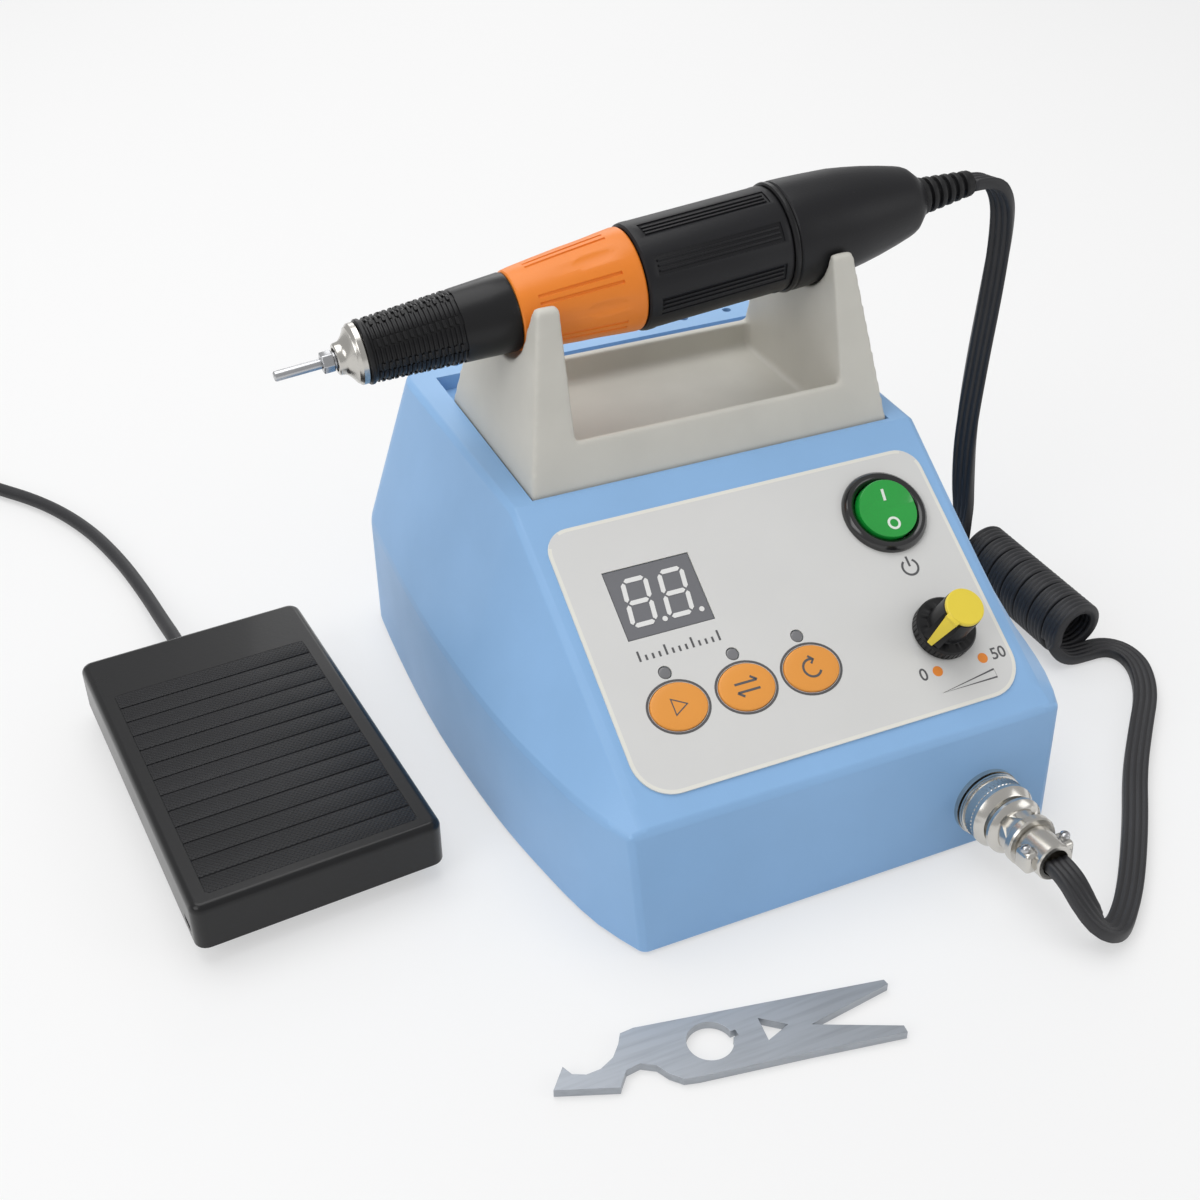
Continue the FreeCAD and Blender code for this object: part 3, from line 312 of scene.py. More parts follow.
dusted = add_node(g, "Mix", {"B": (0.7, 0.69, 0.66, 1)}, data_type="RGBA")
wire(g, dust.outputs[0], dusted.inputs["Factor"])
wire(g, tone.outputs[0], dusted.inputs["A"])
wire(g, dusted.outputs["Result"], skin_out.inputs["Colour"])
matt = add_node(g, "Math", {1: 0.14}, operation="MULTIPLY_ADD")
wire(g, cloud.outputs["Fac"], matt.inputs[0])
wire(g, skin_in.outputs["Roughness"], matt.inputs[2])
wire(g, matt.outputs[0], skin_out.inputs["Roughness"])
wire(g, grain.outputs["Fac"], skin_out.inputs["Height"])


def skin_material(name, colour, rough=0.42, mottle=0.06, grain=2600.0, dust=0.02, depth=0.00003,
                  strength=0.35, specular=0.5, coat=0.0, metallic=0.0, group=None):
    # a moulded, turned or ground surface: the group's pattern on a plain shader
    made = bpy.data.materials.new(name)
    made.use_nodes = True
    made.diffuse_color = (*colour, 1)
    tree = made.node_tree
    shader = tree.nodes["Principled BSDF"]
    shader.inputs["Specular IOR Level"].default_value = specular
    shader.inputs["Metallic"].default_value = metallic
    if coat:
        shader.inputs["Coat Weight"].default_value = coat
        shader.inputs["Coat Roughness"].default_value = 0.08
    pattern = add_node(tree, "Group", {"Colour": (*colour, 1), "Mottle": mottle,
                                       "Grain per metre": grain, "Roughness": rough - 0.07,
                                       "Dust": dust}, node_tree=group or moulded_skin)
    relief = add_node(tree, "Bump", {"Strength": strength, "Distance": depth})
    wire(tree, pattern.outputs["Colour"], shader.inputs["Base Color"])
    wire(tree, pattern.outputs["Roughness"], shader.inputs["Roughness"])
    wire(tree, pattern.outputs["Height"], relief.inputs["Height"])
    wire(tree, relief.outputs["Normal"], shader.inputs["Normal"])
    return made


def coat_node(material, *nodes):
    # a CAD node that stays as it is takes a detailed material
    for name in nodes:
        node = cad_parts[name]
        node.data.materials.clear()
        node.data.materials.append(material)


cord_black = skin_material("cord_sheath_black", (0.022, 0.022, 0.025), rough=0.5, mottle=0.2,
                           grain=1500.0, dust=0.03, depth=0.00006, strength=0.5)
cord_data.materials.append(cord_black)
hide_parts("handpiece_cord_upper", "handpiece_cord_curl", "handpiece_cord_lower")
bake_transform(hand_cord)
cord_path = [hand_line[0]]
for spot in hand_line[1:]:
    if (Vector(spot) - Vector(cord_path[-1])).length > 0.0015:
        cord_path.append(spot)

# Pedal cord: round two-core lead, clamped in the pedal's rear gland. It lies on
# the table, and its unseen length is wound into a coil with the plug beside it.
lay, coil_x, coil_back, coil_r0, coil_pitch, coil_step = 2.15, -214.0, 268.0, 32.4, 5.2, 4.6
PEDAL_YAW = math.radians(4.4)
PEDAL_AT = at(-141.0, 36.0, 0)


def pedal_spot(x, y, z):
    c, s = math.cos(PEDAL_YAW), math.sin(PEDAL_YAW)
    return PEDAL_AT + Vector((x * c - y * s, x * s + y * c, z)) * 0.001


pedal_route = [
    pedal_spot(27, 102, 7), pedal_spot(27, 111, 7), at(-123.6, 161.0, 4.6), at(-125.4, 182.0, lay),
    at(-128.8, 202.0, lay), at(-134.8, 224.0, lay), at(-145.0, 245.0, lay), at(-160.5, 263.5, lay),
    at(-172.0, 283.0, lay), at(-186.0, 295.0, lay), at(coil_x + 15.0, coil_back + coil_r0, lay),
    at(coil_x + 7.0, coil_back + coil_r0, lay),
]
in_turns, climb = 3.75, 0.5
total_turns = 2 * in_turns + climb
for k in range(round(total_turns * 12)):
    turned = (k + 0.5) / 12
    if turned <= in_turns:
        r, z = coil_r0 - coil_pitch * turned, 0.0
    elif turned <= in_turns + climb:
        s = (turned - in_turns) / climb
        r, z = coil_r0 - coil_pitch * in_turns, s * s * (3 - 2 * s)
    else:
        r, z = coil_r0 - coil_pitch * (2 * in_turns + climb - turned), 1.0
    a = math.pi / 2 + turned * 2 * math.pi
    r /= math.cos(math.radians(15))
    pedal_route.append(at(coil_x + r * math.cos(a), coil_back + r * math.sin(a), lay + coil_step * z))
pedal_route += [
    at(coil_x - 8.0, coil_back + coil_r0, lay + coil_step),
    at(coil_x - 25.0, coil_back + coil_r0, lay + coil_step),
]
pedal_curve = spline_line("pedal_cord_sheath", pedal_route)
pedal_curve.bevel_depth = 0.002
pedal_curve.bevel_resolution = 4
pedal_curve.use_fill_caps = True
pedal_cord = new_object("pedal_cord_sheath", pedal_curve)
pedal_curve.materials.append(cord_black)
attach(pedal_cord, "control_unit")
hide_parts("pedal_cord", "pedal_cord_coil")

# Casing: injection-moulded shell of light blue satin plastic, open below, with
# a sloped front, bulged sides creased all round and a recess for the cradle.
MM = Matrix.Scale(0.001, 4)
UNIT = Matrix.Translation((0, FRONT_EDGE * 0.001, 0)) @ MM


def spun(degrees, axis):
    return Matrix.Rotation(math.radians(degrees), 4, axis)


def fresh(name):
    # the primitive just added, under its name
    piece = bpy.context.active_object
    piece.name = name
    piece.data.name = name
    return piece


def clear_choice():
    if bpy.context.object and bpy.context.object.mode == "EDIT":
        bpy.ops.object.mode_set(mode="OBJECT")
    bpy.ops.object.select_all(action="DESELECT")


def take(piece):
    # makes the piece the only one chosen
    clear_choice()
    bpy.context.view_layer.objects.active = piece
    piece.select_set(True)


def choose(piece, kind, test):
    # selects vertices, edges or faces of the piece by a test on their place
    bpy.ops.object.mode_set(mode="EDIT")
    bpy.ops.mesh.select_mode(type={"verts": "VERT", "edges": "EDGE", "faces": "FACE"}[kind])
    bpy.ops.mesh.select_all(action="DESELECT")
    form = bmesh.from_edit_mesh(piece.data)
    for part in getattr(form, kind):
        if test(part):
            part.select_set(True)
    form.select_flush_mode()
    bmesh.update_edit_mesh(piece.data)


def face_outwards():
    # turns all normals of the piece in hand outwards
    bpy.ops.mesh.select_all(action="SELECT")
    bpy.ops.mesh.normals_make_consistent(inside=False)


def modify(piece, kind, **values):
    take(piece)
    change = piece.modifiers.new(kind.lower(), kind)
    for key, value in values.items():
        setattr(change, key, value)
    bpy.ops.object.modifier_apply(modifier=change.name)


def drill(piece, *cutters):
    # cuts every cutter out of the piece, then throws the cutters away
    for cutter in cutters:
        modify(piece, "BOOLEAN", operation="DIFFERENCE", object=cutter, solver="EXACT")
        bpy.data.objects.remove(cutter)


def smooth(piece, degrees=32):
    take(piece)
    bpy.ops.object.shade_smooth_by_angle(angle=math.radians(degrees))


def settle(piece, place, *materials):
    # the mesh goes to its place in the row frame and takes its materials
    clear_choice()
    piece.data.transform(place @ piece.matrix_world)
    piece.matrix_world = Matrix.Identity(4)
    for material in materials:
        piece.data.materials.append(material)
    return piece


def block(size, centre, turn=(0, 0, 0)):
    clear_choice()
    bpy.ops.mesh.primitive_cube_add(size=1, location=centre, rotation=turn)
    cube = fresh("block")
    cube.scale = size
    bpy.ops.object.transform_apply(location=True, rotation=True, scale=True)
    return cube


def round_bar(radius, low, high, x=0.0, y=0.0, sides=48, stretch=1.0):
    clear_choice()
    bpy.ops.mesh.primitive_cylinder_add(vertices=sides, radius=radius, depth=high - low,
                                        location=(x, y, (low + high) / 2))
    bar = fresh("bar")
    bar.scale = (1, stretch, 1)
    bpy.ops.object.transform_apply(location=True, rotation=True, scale=True)
    return bar


side_knots = [(-12, 45.5), (0, 52.4), (13.5, 58.6), (34.5, 63.3), (55, 66.3), (85, 68.3), (110, 68.3),
              (143, 66.6), (165, 64.0)]


def half_width(y):
    for i in range(1, len(side_knots) - 2):
        (ya, a), (yb, b) = side_knots[i], side_knots[i + 1]
        if y <= yb or i == len(side_knots) - 3:
            h = yb - ya
            ma = (b - side_knots[i - 1][1]) / (yb - side_knots[i - 1][0])
            mb = (side_knots[i + 2][1] - a) / (side_knots[i + 2][0] - ya)
            t = (y - ya) / h
            return ((2 * t**3 - 3 * t**2 + 1) * a + (t**3 - 2 * t**2 + t) * h * ma
                    + (3 * t**2 - 2 * t**3) * b + (t**3 - t**2) * h * mb)
    return 66.6


lip_z, top_z, fold_y = 32.2, 74.0, 71.18
lip_y = math.tan(front_lean) * lip_z


def rim(level):
    # half of the outline, from the front's middle round to the rear's middle
    low_y = 0.8 * math.tan(front_lean)
    z = (0.8, lip_z, top_z)[level]
    start = (low_y, lip_y, lip_y)[level]
    out = []
    inner = 50.9
    for x in (0.0, 10.2, 20.4, 30.6, 40.8, inner):
        out.append((x, start, min(z, lip_z)))
    for k in range(13):
        t = k / 12
        y = start + (fold_y - start) * t
        if level < 2:
            out.append((half_width(y), y, z))
        else:
            out.append((inner + 1.8 * t, y, lip_z + (top_z - lip_z) * t))
    for k in range(1, 9):
        t = k / 8
        if level < 2:
            y = fold_y + (143 - fold_y) * t
            out.append((half_width(y), y, z))
        else:
            out.append((52.7 + 1.7 * t, fold_y + (139 - fold_y) * t, z))
    cx, cy = (66.6 - 11, 143.0) if level < 2 else (54.4 - 11, 139.0)
    for k in range(1, 7):
        a = math.radians(15 * k)
        out.append((cx + 11 * math.cos(a), cy + 11 * math.sin(a), z))
    for k in range(1, 4):
        out.append((cx * (1 - k / 4), cy + 11, z))
    out.append((0.0, cy + 11, z))
    return out


def whole_rim(level):
    half = rim(level)
    return half + [(-x, y, z) for x, y, z in reversed(half[1:-1])]


clear_choice()
bottom_rim = whole_rim(0)
bpy.ops.mesh.primitive_circle_add(vertices=len(bottom_rim), radius=60)
casing = fresh("casing_shell")
for vert, spot in zip(casing.data.vertices, bottom_rim):
    vert.co = spot
bpy.ops.object.mode_set(mode="EDIT")
bpy.ops.mesh.select_all(action="SELECT")
for level in (1, 2):
    bpy.ops.mesh.extrude_region_move(TRANSFORM_OT_translate={"value": (0, 0, 20)})
    form = bmesh.from_edit_mesh(casing.data)
    raised = sorted((v for v in form.verts if v.select), key=lambda v: v.index)
    for vert, spot in zip(raised, whole_rim(level)):
        vert.co = spot
    bmesh.update_edit_mesh(casing.data)
bpy.ops.mesh.select_all(action="SELECT")
bpy.ops.mesh.remove_doubles(threshold=0.01)


def on_slope(v):
    return abs(v.co.z - lip_z - (v.co.y - lip_y) * (top_z - lip_z) / (fold_y - lip_y)) < 0.02


choose(casing, "verts", lambda v: v.co.z >= lip_z - 0.01 and v.co.y <= fold_y + 0.01 and abs(v.co.x) < 52.8
       and on_slope(v))
bpy.ops.mesh.edge_face_add()
choose(casing, "verts", lambda v: v.co.z > top_z - 0.01)
bpy.ops.mesh.edge_face_add()
face_outwards()


def folded(e, least):
    return len(e.link_faces) == 2 and e.calc_face_angle(0) > math.radians(least)


choose(casing, "edges", lambda e: folded(e, 12) and not (
    abs(e.verts[0].co.y - fold_y) < 0.1 and abs(e.verts[1].co.y - fold_y) < 0.1 and e.verts[0].co.z > 73
    and e.verts[1].co.z > 73))
bpy.ops.mesh.bevel(offset=2.5, segments=5, profile=0.5, affect="EDGES", clamp_overlap=True)
for spot, way in (((47.1, 0, 0), (1, 0, 0)), ((-47.1, 0, 0), (1, 0, 0)),
                  ((0, 72.5, 0), (0, 1, 0)), ((0, 139, 0), (0, 1, 0))):
    choose(casing, "faces", lambda f: f.normal.z > 0.999 and f.calc_center_median().z > 73.9)
    bpy.ops.mesh.bisect(plane_co=spot, plane_no=way, use_fill=False)
choose(casing, "faces", lambda f: f.normal.z > 0.999 and abs(f.calc_center_median().x) < 47
       and 72.6 < f.calc_center_median().y < 138.9)
bpy.ops.mesh.extrude_region_move(TRANSFORM_OT_translate={"value": (0, 0, -4.0)})
modify(casing, "SOLIDIFY", thickness=2.2, offset=-1.0, use_even_offset=False)

SLOPE = math.radians(31.75)
PANEL_IN_UNIT = Matrix.Translation((0, 8.8, 35.4)) @ Matrix.Rotation(SLOPE, 4, "X")
FRONT_IN_UNIT = Matrix.Translation((35.3, 11.8 * math.tan(front_lean), 11.8)) @ Matrix.Rotation(
    math.radians(90) - front_lean, 4, "X")
BUTTON_U = (-33.3, -16.7, -0.4)
KEY_ROW, LENS_ROW = 18.3, 26.6
KNOB_U, ROCKER_U, ROCKER_ROW = 33.8, 33.6, 50.2
WINDOW, WINDOW_U, WINDOW_ROW = (21.4, 17.2), -27.9, 44.2
rocker_hole, shaft_hole, lens_hole, key_hole, key_hole_rise = 9.0, 4.0, 1.6, 6.85, 5.65


def panel_cuts(reach):
    # what passes through the panel: display, rocker, knob shaft, keys and lenses
    cuts = [
        block((*WINDOW, 2 * reach), (WINDOW_U, WINDOW_ROW, 0)),
        round_bar(rocker_hole, -reach, reach, ROCKER_U, ROCKER_ROW),
        round_bar(shaft_hole, -reach, reach, KNOB_U, KEY_ROW),
    ]
    for u in BUTTON_U:
        cuts.append(round_bar(key_hole, -reach, reach, u, KEY_ROW, stretch=key_hole_rise / key_hole))
        cuts.append(round_bar(lens_hole, -reach, reach, u, LENS_ROW, sides=24))
    return cuts


cutters = panel_cuts(6)
for cutter in cutters:
    cutter.data.transform(PANEL_IN_UNIT)
sock_hole = round_bar(5.7, -8, 5)
sock_hole.data.transform(FRONT_IN_UNIT)
cutters.append(sock_hole)
for k in range(7):
    cutters.append(round_bar(1.25, 60, 80, (k - 3) * 13.3, 144.6, sides=24))
for radius, x in ((5.1, 38.0), (5.7, 8.0)):
    hole = round_bar(radius, -8, 5)
    hole.data.transform(Matrix.Translation((x, 154, 17)) @ spun(-90, "X"))
    cutters.append(hole)
cutters.append(block((27.6, 13, 19.6), (-30, 152.5, 17)))
drill(casing, *cutters)
casing_blue = skin_material("casing_blue_satin", (0.270, 0.485, 0.790), rough=0.42, mottle=0.05,
                            grain=1900.0,
                            dust=0.02, depth=0.00004, strength=0.3)
smooth(casing, 28)
modify(casing, "WEIGHTED_NORMAL", keep_sharp=True, weight=90)
settle(casing, UNIT, casing_blue)
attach(casing, "control_unit")
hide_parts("casing")

# Base: black pressed plate held by four steel screws, on four rubber feet.
base_black = skin_material("base_black", (0.03, 0.03, 0.033), rough=0.5, mottle=0.15, grain=1200.0)
foot_rubber = skin_material("foot_rubber", (0.035, 0.035, 0.035), rough=0.75, mottle=0.2, grain=3200.0,
                            specular=0.3)
coat_node(base_black, "base_plate")
coat_node(foot_rubber, "feet", "pedal_feet")

# Rear fittings: moulded mains inlet with flat blades, nickel pedal jack and a
# fuse cap with its coin slot.
inlet_black = skin_material("inlet_black", (0.028, 0.028, 0.03), rough=0.38, mottle=0.1, grain=2200.0)
nickel = skin_material("bright_nickel", (0.66, 0.64, 0.60), rough=0.22, mottle=0.12, grain=5200.0,
                       dust=0.0,
                       depth=0.00001, strength=0.2, metallic=1.0)
coat_node(inlet_black, "mains_inlet", "fuse_holder")
coat_node(nickel, "pedal_jack", "front_socket")

# Label: satin polyester film on a thin plate, light warm grey with a cream rim,
# stuck in place, with cut-outs and generic signs in dark ink.
PANEL = UNIT @ PANEL_IN_UNIT
clear_choice()
bpy.ops.mesh.primitive_plane_add(size=1, location=(0, 32.7, 0))
label = fresh("panel_film")
label.scale = (97.2, 65.4, 1)
bpy.ops.object.transform_apply(location=True, rotation=True, scale=True)
choose(label, "verts", lambda v: v.co.y > 40)
bpy.ops.mesh.bevel(offset=6.0, segments=8, affect="VERTICES")
choose(label, "verts", lambda v: v.co.y < 1)
bpy.ops.mesh.bevel(offset=9.0, segments=10, affect="VERTICES")
choose(label, "faces", lambda f: True)
bpy.ops.mesh.extrude_region_move(TRANSFORM_OT_translate={"value": (0, 0, 0.5)})
choose(label, "faces", lambda f: f.normal.z > 0.9)
bpy.ops.mesh.inset(thickness=0.12, depth=0.0)
bpy.ops.mesh.inset(thickness=0.75, depth=0.0)
face_outwards()
drill(label, *panel_cuts(2))
film_grey = skin_material("label_film_grey", (0.690, 0.690, 0.680), rough=0.46, mottle=0.03,
                          grain=6500.0, dust=0.02,
                          depth=0.00001, strength=0.25)
film_rim = skin_material("label_film_rim", (0.80, 0.79, 0.73), rough=0.46, mottle=0.03, grain=6500.0)
settle(label, Matrix.Identity(4), film_grey, film_rim)
for face in label.data.polygons:
    c = face.center
    edge = abs(c.x) > 47.7 or c.y < 0.9 or c.y > 64.5 or face.normal.z < 0.5
    corner = c.y < 9 and abs(c.x) > 39.6 and math.hypot(abs(c.x) - 39.6, c.y - 9) > 8.1
    face.material_index = 1 if (edge or corner) and face.normal.z > -0.5 else 0
settle(label, PANEL)
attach(label, "control_unit")
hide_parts("panel_overlay")

ink_grey = skin_material("ink_dark_grey", (0.10, 0.10, 0.105), rough=0.55, mottle=0.1, grain=6000.0,
                         dust=0.0)
ink_orange = skin_material("ink_orange", (0.85, 0.27, 0.035), rough=0.5, mottle=0.05, grain=6000.0,
                           dust=0.0)
PRINT_LOW, PRINT_HIGH = 0.5, 0.54


def stroke(name, lines, width, low=PRINT_LOW, high=PRINT_HIGH):
    # printed lines of one width, each a strip that follows its points
    form = bmesh.new()
    for points in lines:
        closed = points[0] == points[-1]
        pts = [Vector((*p, low)) for p in (points[:-1] if closed else points)]
        n = len(pts)
        pairs = []
        for i in range(n):
            a = pts[(i - 1) % n] if closed or i else pts[i]
            b = pts[(i + 1) % n] if closed or i < n - 1 else pts[i]
            along = (b - a).normalized()
            off = Vector((-along.y, along.x, 0)) * width / 2
            pairs.append((form.verts.new(pts[i] - off), form.verts.new(pts[i] + off)))
        for i in range(n if closed else n - 1):
            (a, b), (c, d) = pairs[i], pairs[(i + 1) % n]
            form.faces.new((a, c, d, b))
    mesh = bpy.data.meshes.new(name)
    form.to_mesh(mesh)
    form.free()
    piece = new_object(name, mesh)
    modify(piece, "SOLIDIFY", thickness=high - low, offset=1.0)
    return piece


def arc(cx, cy, r, a0, a1, steps=24, squeeze=1.0):
    return [(cx + r * math.cos(math.radians(a0 + (a1 - a0) * k / steps)),
             cy + squeeze * r * math.sin(math.radians(a0 + (a1 - a0) * k / steps))) for k in range(steps + 1)]


def ring_line(cx, cy, r, squeeze=1.0, steps=48):
    pts = arc(cx, cy, r, 0, 360, steps, squeeze)
    pts[-1] = pts[0]
    return pts


def numeral(name, words, x, y, size, low=PRINT_LOW, high=PRINT_HIGH, bold=0.0):
    clear_choice()
    bpy.ops.object.text_add(location=(0, 0, 0))
    text = bpy.context.active_object
    text.data.body = words
    text.data.size = size
    text.data.align_x = "CENTER"
    text.data.align_y = "CENTER"
    text.data.extrude = (high - low) / 2
    text.data.offset = bold
    text.data.resolution_u = 4
    bpy.ops.object.convert(target="MESH")
    piece = fresh(name)
    piece.data.transform(Matrix.Translation((x, y, (low + high) / 2)))
    return piece


def printed(piece, material, body="control_unit", place=PANEL):
    settle(piece, place, material)
    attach(piece, body)
    return piece


# the power sign below the rocker, the speed wedge below the knob, and tick
# marks where the display's unit stands
printed(stroke("power_sign", [arc(33.8, 35.4, 2.0, 125, 415), [(33.8, 35.6), (33.8, 38.2)]], 0.55),
        ink_grey)
printed(stroke("speed_wedge", [[(27.6, 4.3), (42.2, 4.3), (42.2, 6.3), (27.6, 4.3)]], 0.4), ink_grey)
ticks = [[(-37.6 + 1.62 * k, 30.4), (-37.6 + 1.62 * k,
                                     32.9 if k % 4 == 0 else 31.7)] for k in range(13)]
printed(stroke("display_ticks", ticks, 0.5), ink_grey)
printed(numeral("dial_low", "0", 24.9, 9.5, 4.2, bold=0.04), ink_grey)
printed(numeral("dial_high", "50", 45.1, 9.6, 4.0, bold=0.04), ink_grey)
for tag, x in (("low", 28.6), ("high", 40.8)):
    dot = round_bar(1.25, PRINT_LOW, PRINT_HIGH, x, 9.5, sides=32)
    dot.name = "dial_dot_" + tag
    printed(dot, ink_orange)

# Display: two slanted seven-segment digits behind a smoked grey window.
window_grey = skin_material("display_smoke", (0.170, 0.172, 0.186), rough=0.30, mottle=0.05,
                            grain=5200.0, dust=0.02,
                            depth=0.00001, strength=0.15)
segment_white = skin_material("segment_white", (0.80, 0.80, 0.79), rough=0.35, mottle=0.03,
                              grain=5200.0, dust=0.0)
coat_node(window_grey, "display_module")
bars = []
for u in (-32.6, -23.6):
    hw, hh, gap = 2.75, 5.4, 0.32
    for dv in (-hh, 0.0, hh):
        bars.append(((u - hw + gap, dv), (u + hw - gap, dv)))
    for du in (-hw, hw):
        bars.append(((u + du, -hh + gap), (u + du, -gap)))
        bars.append(((u + du, gap), (u + du, hh - gap)))
digit_form = bmesh.new()
for (x0, y0), (x1, y1) in bars:
    a, b = Vector((x0, y0, 0.3)), Vector((x1, y1, 0.3))
    along = (b - a).normalized()
    off = Vector((-along.y, along.x, 0)) * 0.55
    outline = [a, a + along * 0.55 - off, b - along * 0.55 - off, b, b - along * 0.55 + off,
               a + along * 0.55 + off]
    digit_form.faces.new([digit_form.verts.new(p) for p in outline])
digit_mesh = bpy.data.meshes.new("display_segments")
digit_form.to_mesh(digit_mesh)
digit_form.free()
segments = new_object("display_segments", digit_mesh)
modify(segments, "SOLIDIFY", thickness=0.12, offset=1.0)
lean = Matrix.Identity(4)
lean[0][1] = math.tan(math.radians(7))
segments.data.transform(Matrix.Translation((0, WINDOW_ROW, 0)) @ lean)


def gather(pieces, name="gathered"):
    # several separate solids as one piece
    clear_choice()
    for part in pieces:
        part.select_set(True)
    bpy.context.view_layer.objects.active = pieces[0]
    if len(pieces) > 1:
        bpy.ops.object.join()
    return fresh(name)


points = [round_bar(0.62, 0.3, 0.42, u, 38.7, sides=20) for u in (-28.4, -19.3)]
segments = gather([segments, *points], "display_segments")
settle(segments, PANEL, segment_white)
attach(segments, "control_unit")
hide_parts("display_digits")

# Indicators: small grey lenses, flush domes in the film.
lens_grey = skin_material("lens_grey", (0.20, 0.20, 0.21), rough=0.25, mottle=0.1, grain=5200.0,
                          coat=0.4)
for k, u in enumerate(BUTTON_U):
    lens = round_bar(1.5, -3.0, 0.42, u, LENS_ROW, sides=32)
    choose(lens, "edges", lambda e: all(v.co.z > 0.4 for v in e.verts))
    bpy.ops.mesh.bevel(offset=0.5, segments=4, affect="EDGES")
    lens.name = "indicator_lens_%d" % (k + 1)
    smooth(lens, 60)
    settle(lens, PANEL, lens_grey)
    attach(lens, "control_unit")
    if k == 0:
        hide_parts("indicator_leds")

# Buttons: oval key caps of orange plastic in an ink outline, each with its sign.
key_orange = skin_material("key_orange", (0.83, 0.335, 0.055), rough=0.40, mottle=0.05, grain=3600.0,
                           dust=0.02)
key_signs = {
    "start_button": [[(-1.4, -1.9), (1.9, 0.0), (-1.4, 1.9), (-1.4, -1.9)]],
    "direction_button": [[(-2.8, 1.0), (2.6, 1.0)], [(1.4, 2.1), (2.8, 1.0)],
                         [(2.8, -1.0), (-2.6, -1.0)],
                         [(-1.4, -2.1), (-2.8, -1.0)]],
    "mode_button": [arc(0, 0, 2.1, 60, 330), [(0.2, 1.0), (1.05, 1.9), (0.0, 2.9)]],
}
for node, u in zip(("start_button", "direction_button", "mode_button"), BUTTON_U):
    cap = round_bar(6.7, -1.6, 1.0, u, KEY_ROW, sides=72, stretch=5.5 / 6.7)
    choose(cap, "edges", lambda e: all(v.co.z > 0.9 for v in e.verts))
    bpy.ops.mesh.bevel(offset=0.35, segments=3, affect="EDGES")
    choose(cap, "faces", lambda f: f.normal.z > 0.99)
    bpy.ops.mesh.inset(thickness=1.6, depth=0.06)
    bpy.ops.mesh.inset(thickness=1.6, depth=0.03)
    stem = round_bar(2.0, -8.4, -1.6, u, KEY_ROW, sides=24)
    cap = gather([cap, stem], node + "_cap")
    smooth(cap, 40)
    settle(cap, PANEL, key_orange)
    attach(cap, node)
    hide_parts(node)
    sign = stroke(node + "_sign", [[(u + x, KEY_ROW + y) for x, y in line] for line in key_signs[node]],
                  0.55, 1.07, 1.12)
    printed(sign, ink_grey, node)
    outline = stroke(node + "_outline", [ring_line(u, KEY_ROW, 7.25, squeeze=0.835)], 0.55)
    printed(outline, ink_grey)

# Rocker switch: glossy black bezel clipped into the slope, green rocker with
# raised I and O that tips about its middle.
gloss_black = skin_material("gloss_black", (0.012, 0.012, 0.013), rough=0.20, mottle=0.1, grain=2600.0,
                            dust=0.03,
                            depth=0.00001, strength=0.2, coat=0.5)


def turned_form(name, profile, sides=96, close=True):
    # a turned piece round local Z: a circle drawn out and sized at each step
    clear_choice()
    r0, z0 = profile[0]
    bpy.ops.mesh.primitive_circle_add(vertices=sides, radius=max(r0, 0.001), location=(0, 0, z0))
    piece = fresh(name)
    bpy.ops.object.transform_apply(location=True)
    choose(piece, "verts", lambda v: True)
    for r, z in profile[1:] + ([profile[0]] if close else []):
        bpy.ops.mesh.extrude_region_move(TRANSFORM_OT_translate={"value": (0, 0, 0.001)})
        form = bmesh.from_edit_mesh(piece.data)
        for vert in form.verts:
            if vert.select:
                a = math.atan2(vert.co.y, vert.co.x)
                vert.co = (max(r, 0.001) * math.cos(a), max(r, 0.001) * math.sin(a), z)
        bmesh.update_edit_mesh(piece.data)
    bpy.ops.mesh.select_all(action="SELECT")
    bpy.ops.mesh.remove_doubles(threshold=0.004)
    bpy.ops.mesh.normals_make_consistent(inside=False)
    bpy.ops.object.mode_set(mode="OBJECT")
    return piece


def ease(piece, width, segments, degrees):
    # rounds the edges that fold by more than an angle
    modify(piece, "BEVEL", width=width, segments=segments, limit_method="ANGLE",
           angle_limit=math.radians(degrees))


bezel = turned_form("rocker_bezel", [
    (7.75, -9), (7.75, 1.2), (8.1, 1.9), (8.9, 2.35), (9.7, 2.3), (10.3, 1.8), (10.6, 1.1), (10.6, 0.5),
    (8.9, 0.5),
    (8.9, -13.0), (0.0, -13.0), (0.0, -9.0),
])
smooth(bezel, 35)
settle(bezel, PANEL @ Matrix.Translation((ROCKER_U, ROCKER_ROW, 0)), gloss_black)
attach(bezel, "control_unit")
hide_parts("switch_bezel")

rocker_green = skin_material("rocker_green", (0.010, 0.36, 0.045), rough=0.16, mottle=0.12, grain=900.0,
                             dust=0.01,
                             depth=0.00001, strength=0.15, coat=0.6)
rocker_white = skin_material("rocker_sign_white", (0.78, 0.86, 0.78), rough=0.3, mottle=0.03,
                             grain=5200.0, dust=0.0)
rocker = turned_form("rocker_green", [(0, -4.4), (5.6, -4.4), (7.35, -1.8), (7.45, 0.0), (7.3, 2.5),
                                      (7.0, 3.0), (0, 3.0)],
                     close=False)
for s in (1, -1):
    valley = block((30, 20, 10), (0, s * 10, 5 + 2.0))
    valley.data.transform(Matrix.Translation((0, 0, 2.0)) @ Matrix.Rotation(s * math.radians(7), 4, "X")
                          @ Matrix.Translation((0, 0, -2.0)))
    drill(rocker, valley)
ease(rocker, 0.25, 3, 40)
smooth(rocker, 40)
ROCKER = PANEL @ Matrix.Translation((ROCKER_U, ROCKER_ROW, 0.8)) @ spun(8, "X")
settle(rocker, ROCKER, rocker_green)
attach(rocker, "rocker")
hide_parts("switch_rocker")
rocker_i = stroke("rocker_on_mark", [[(0, 2.2), (0, 5.0)]], 0.7, 0.0, 0.08)
rocker_i.data.transform(Matrix.Translation((0, 0, 2.02)) @ spun(7, "X"))
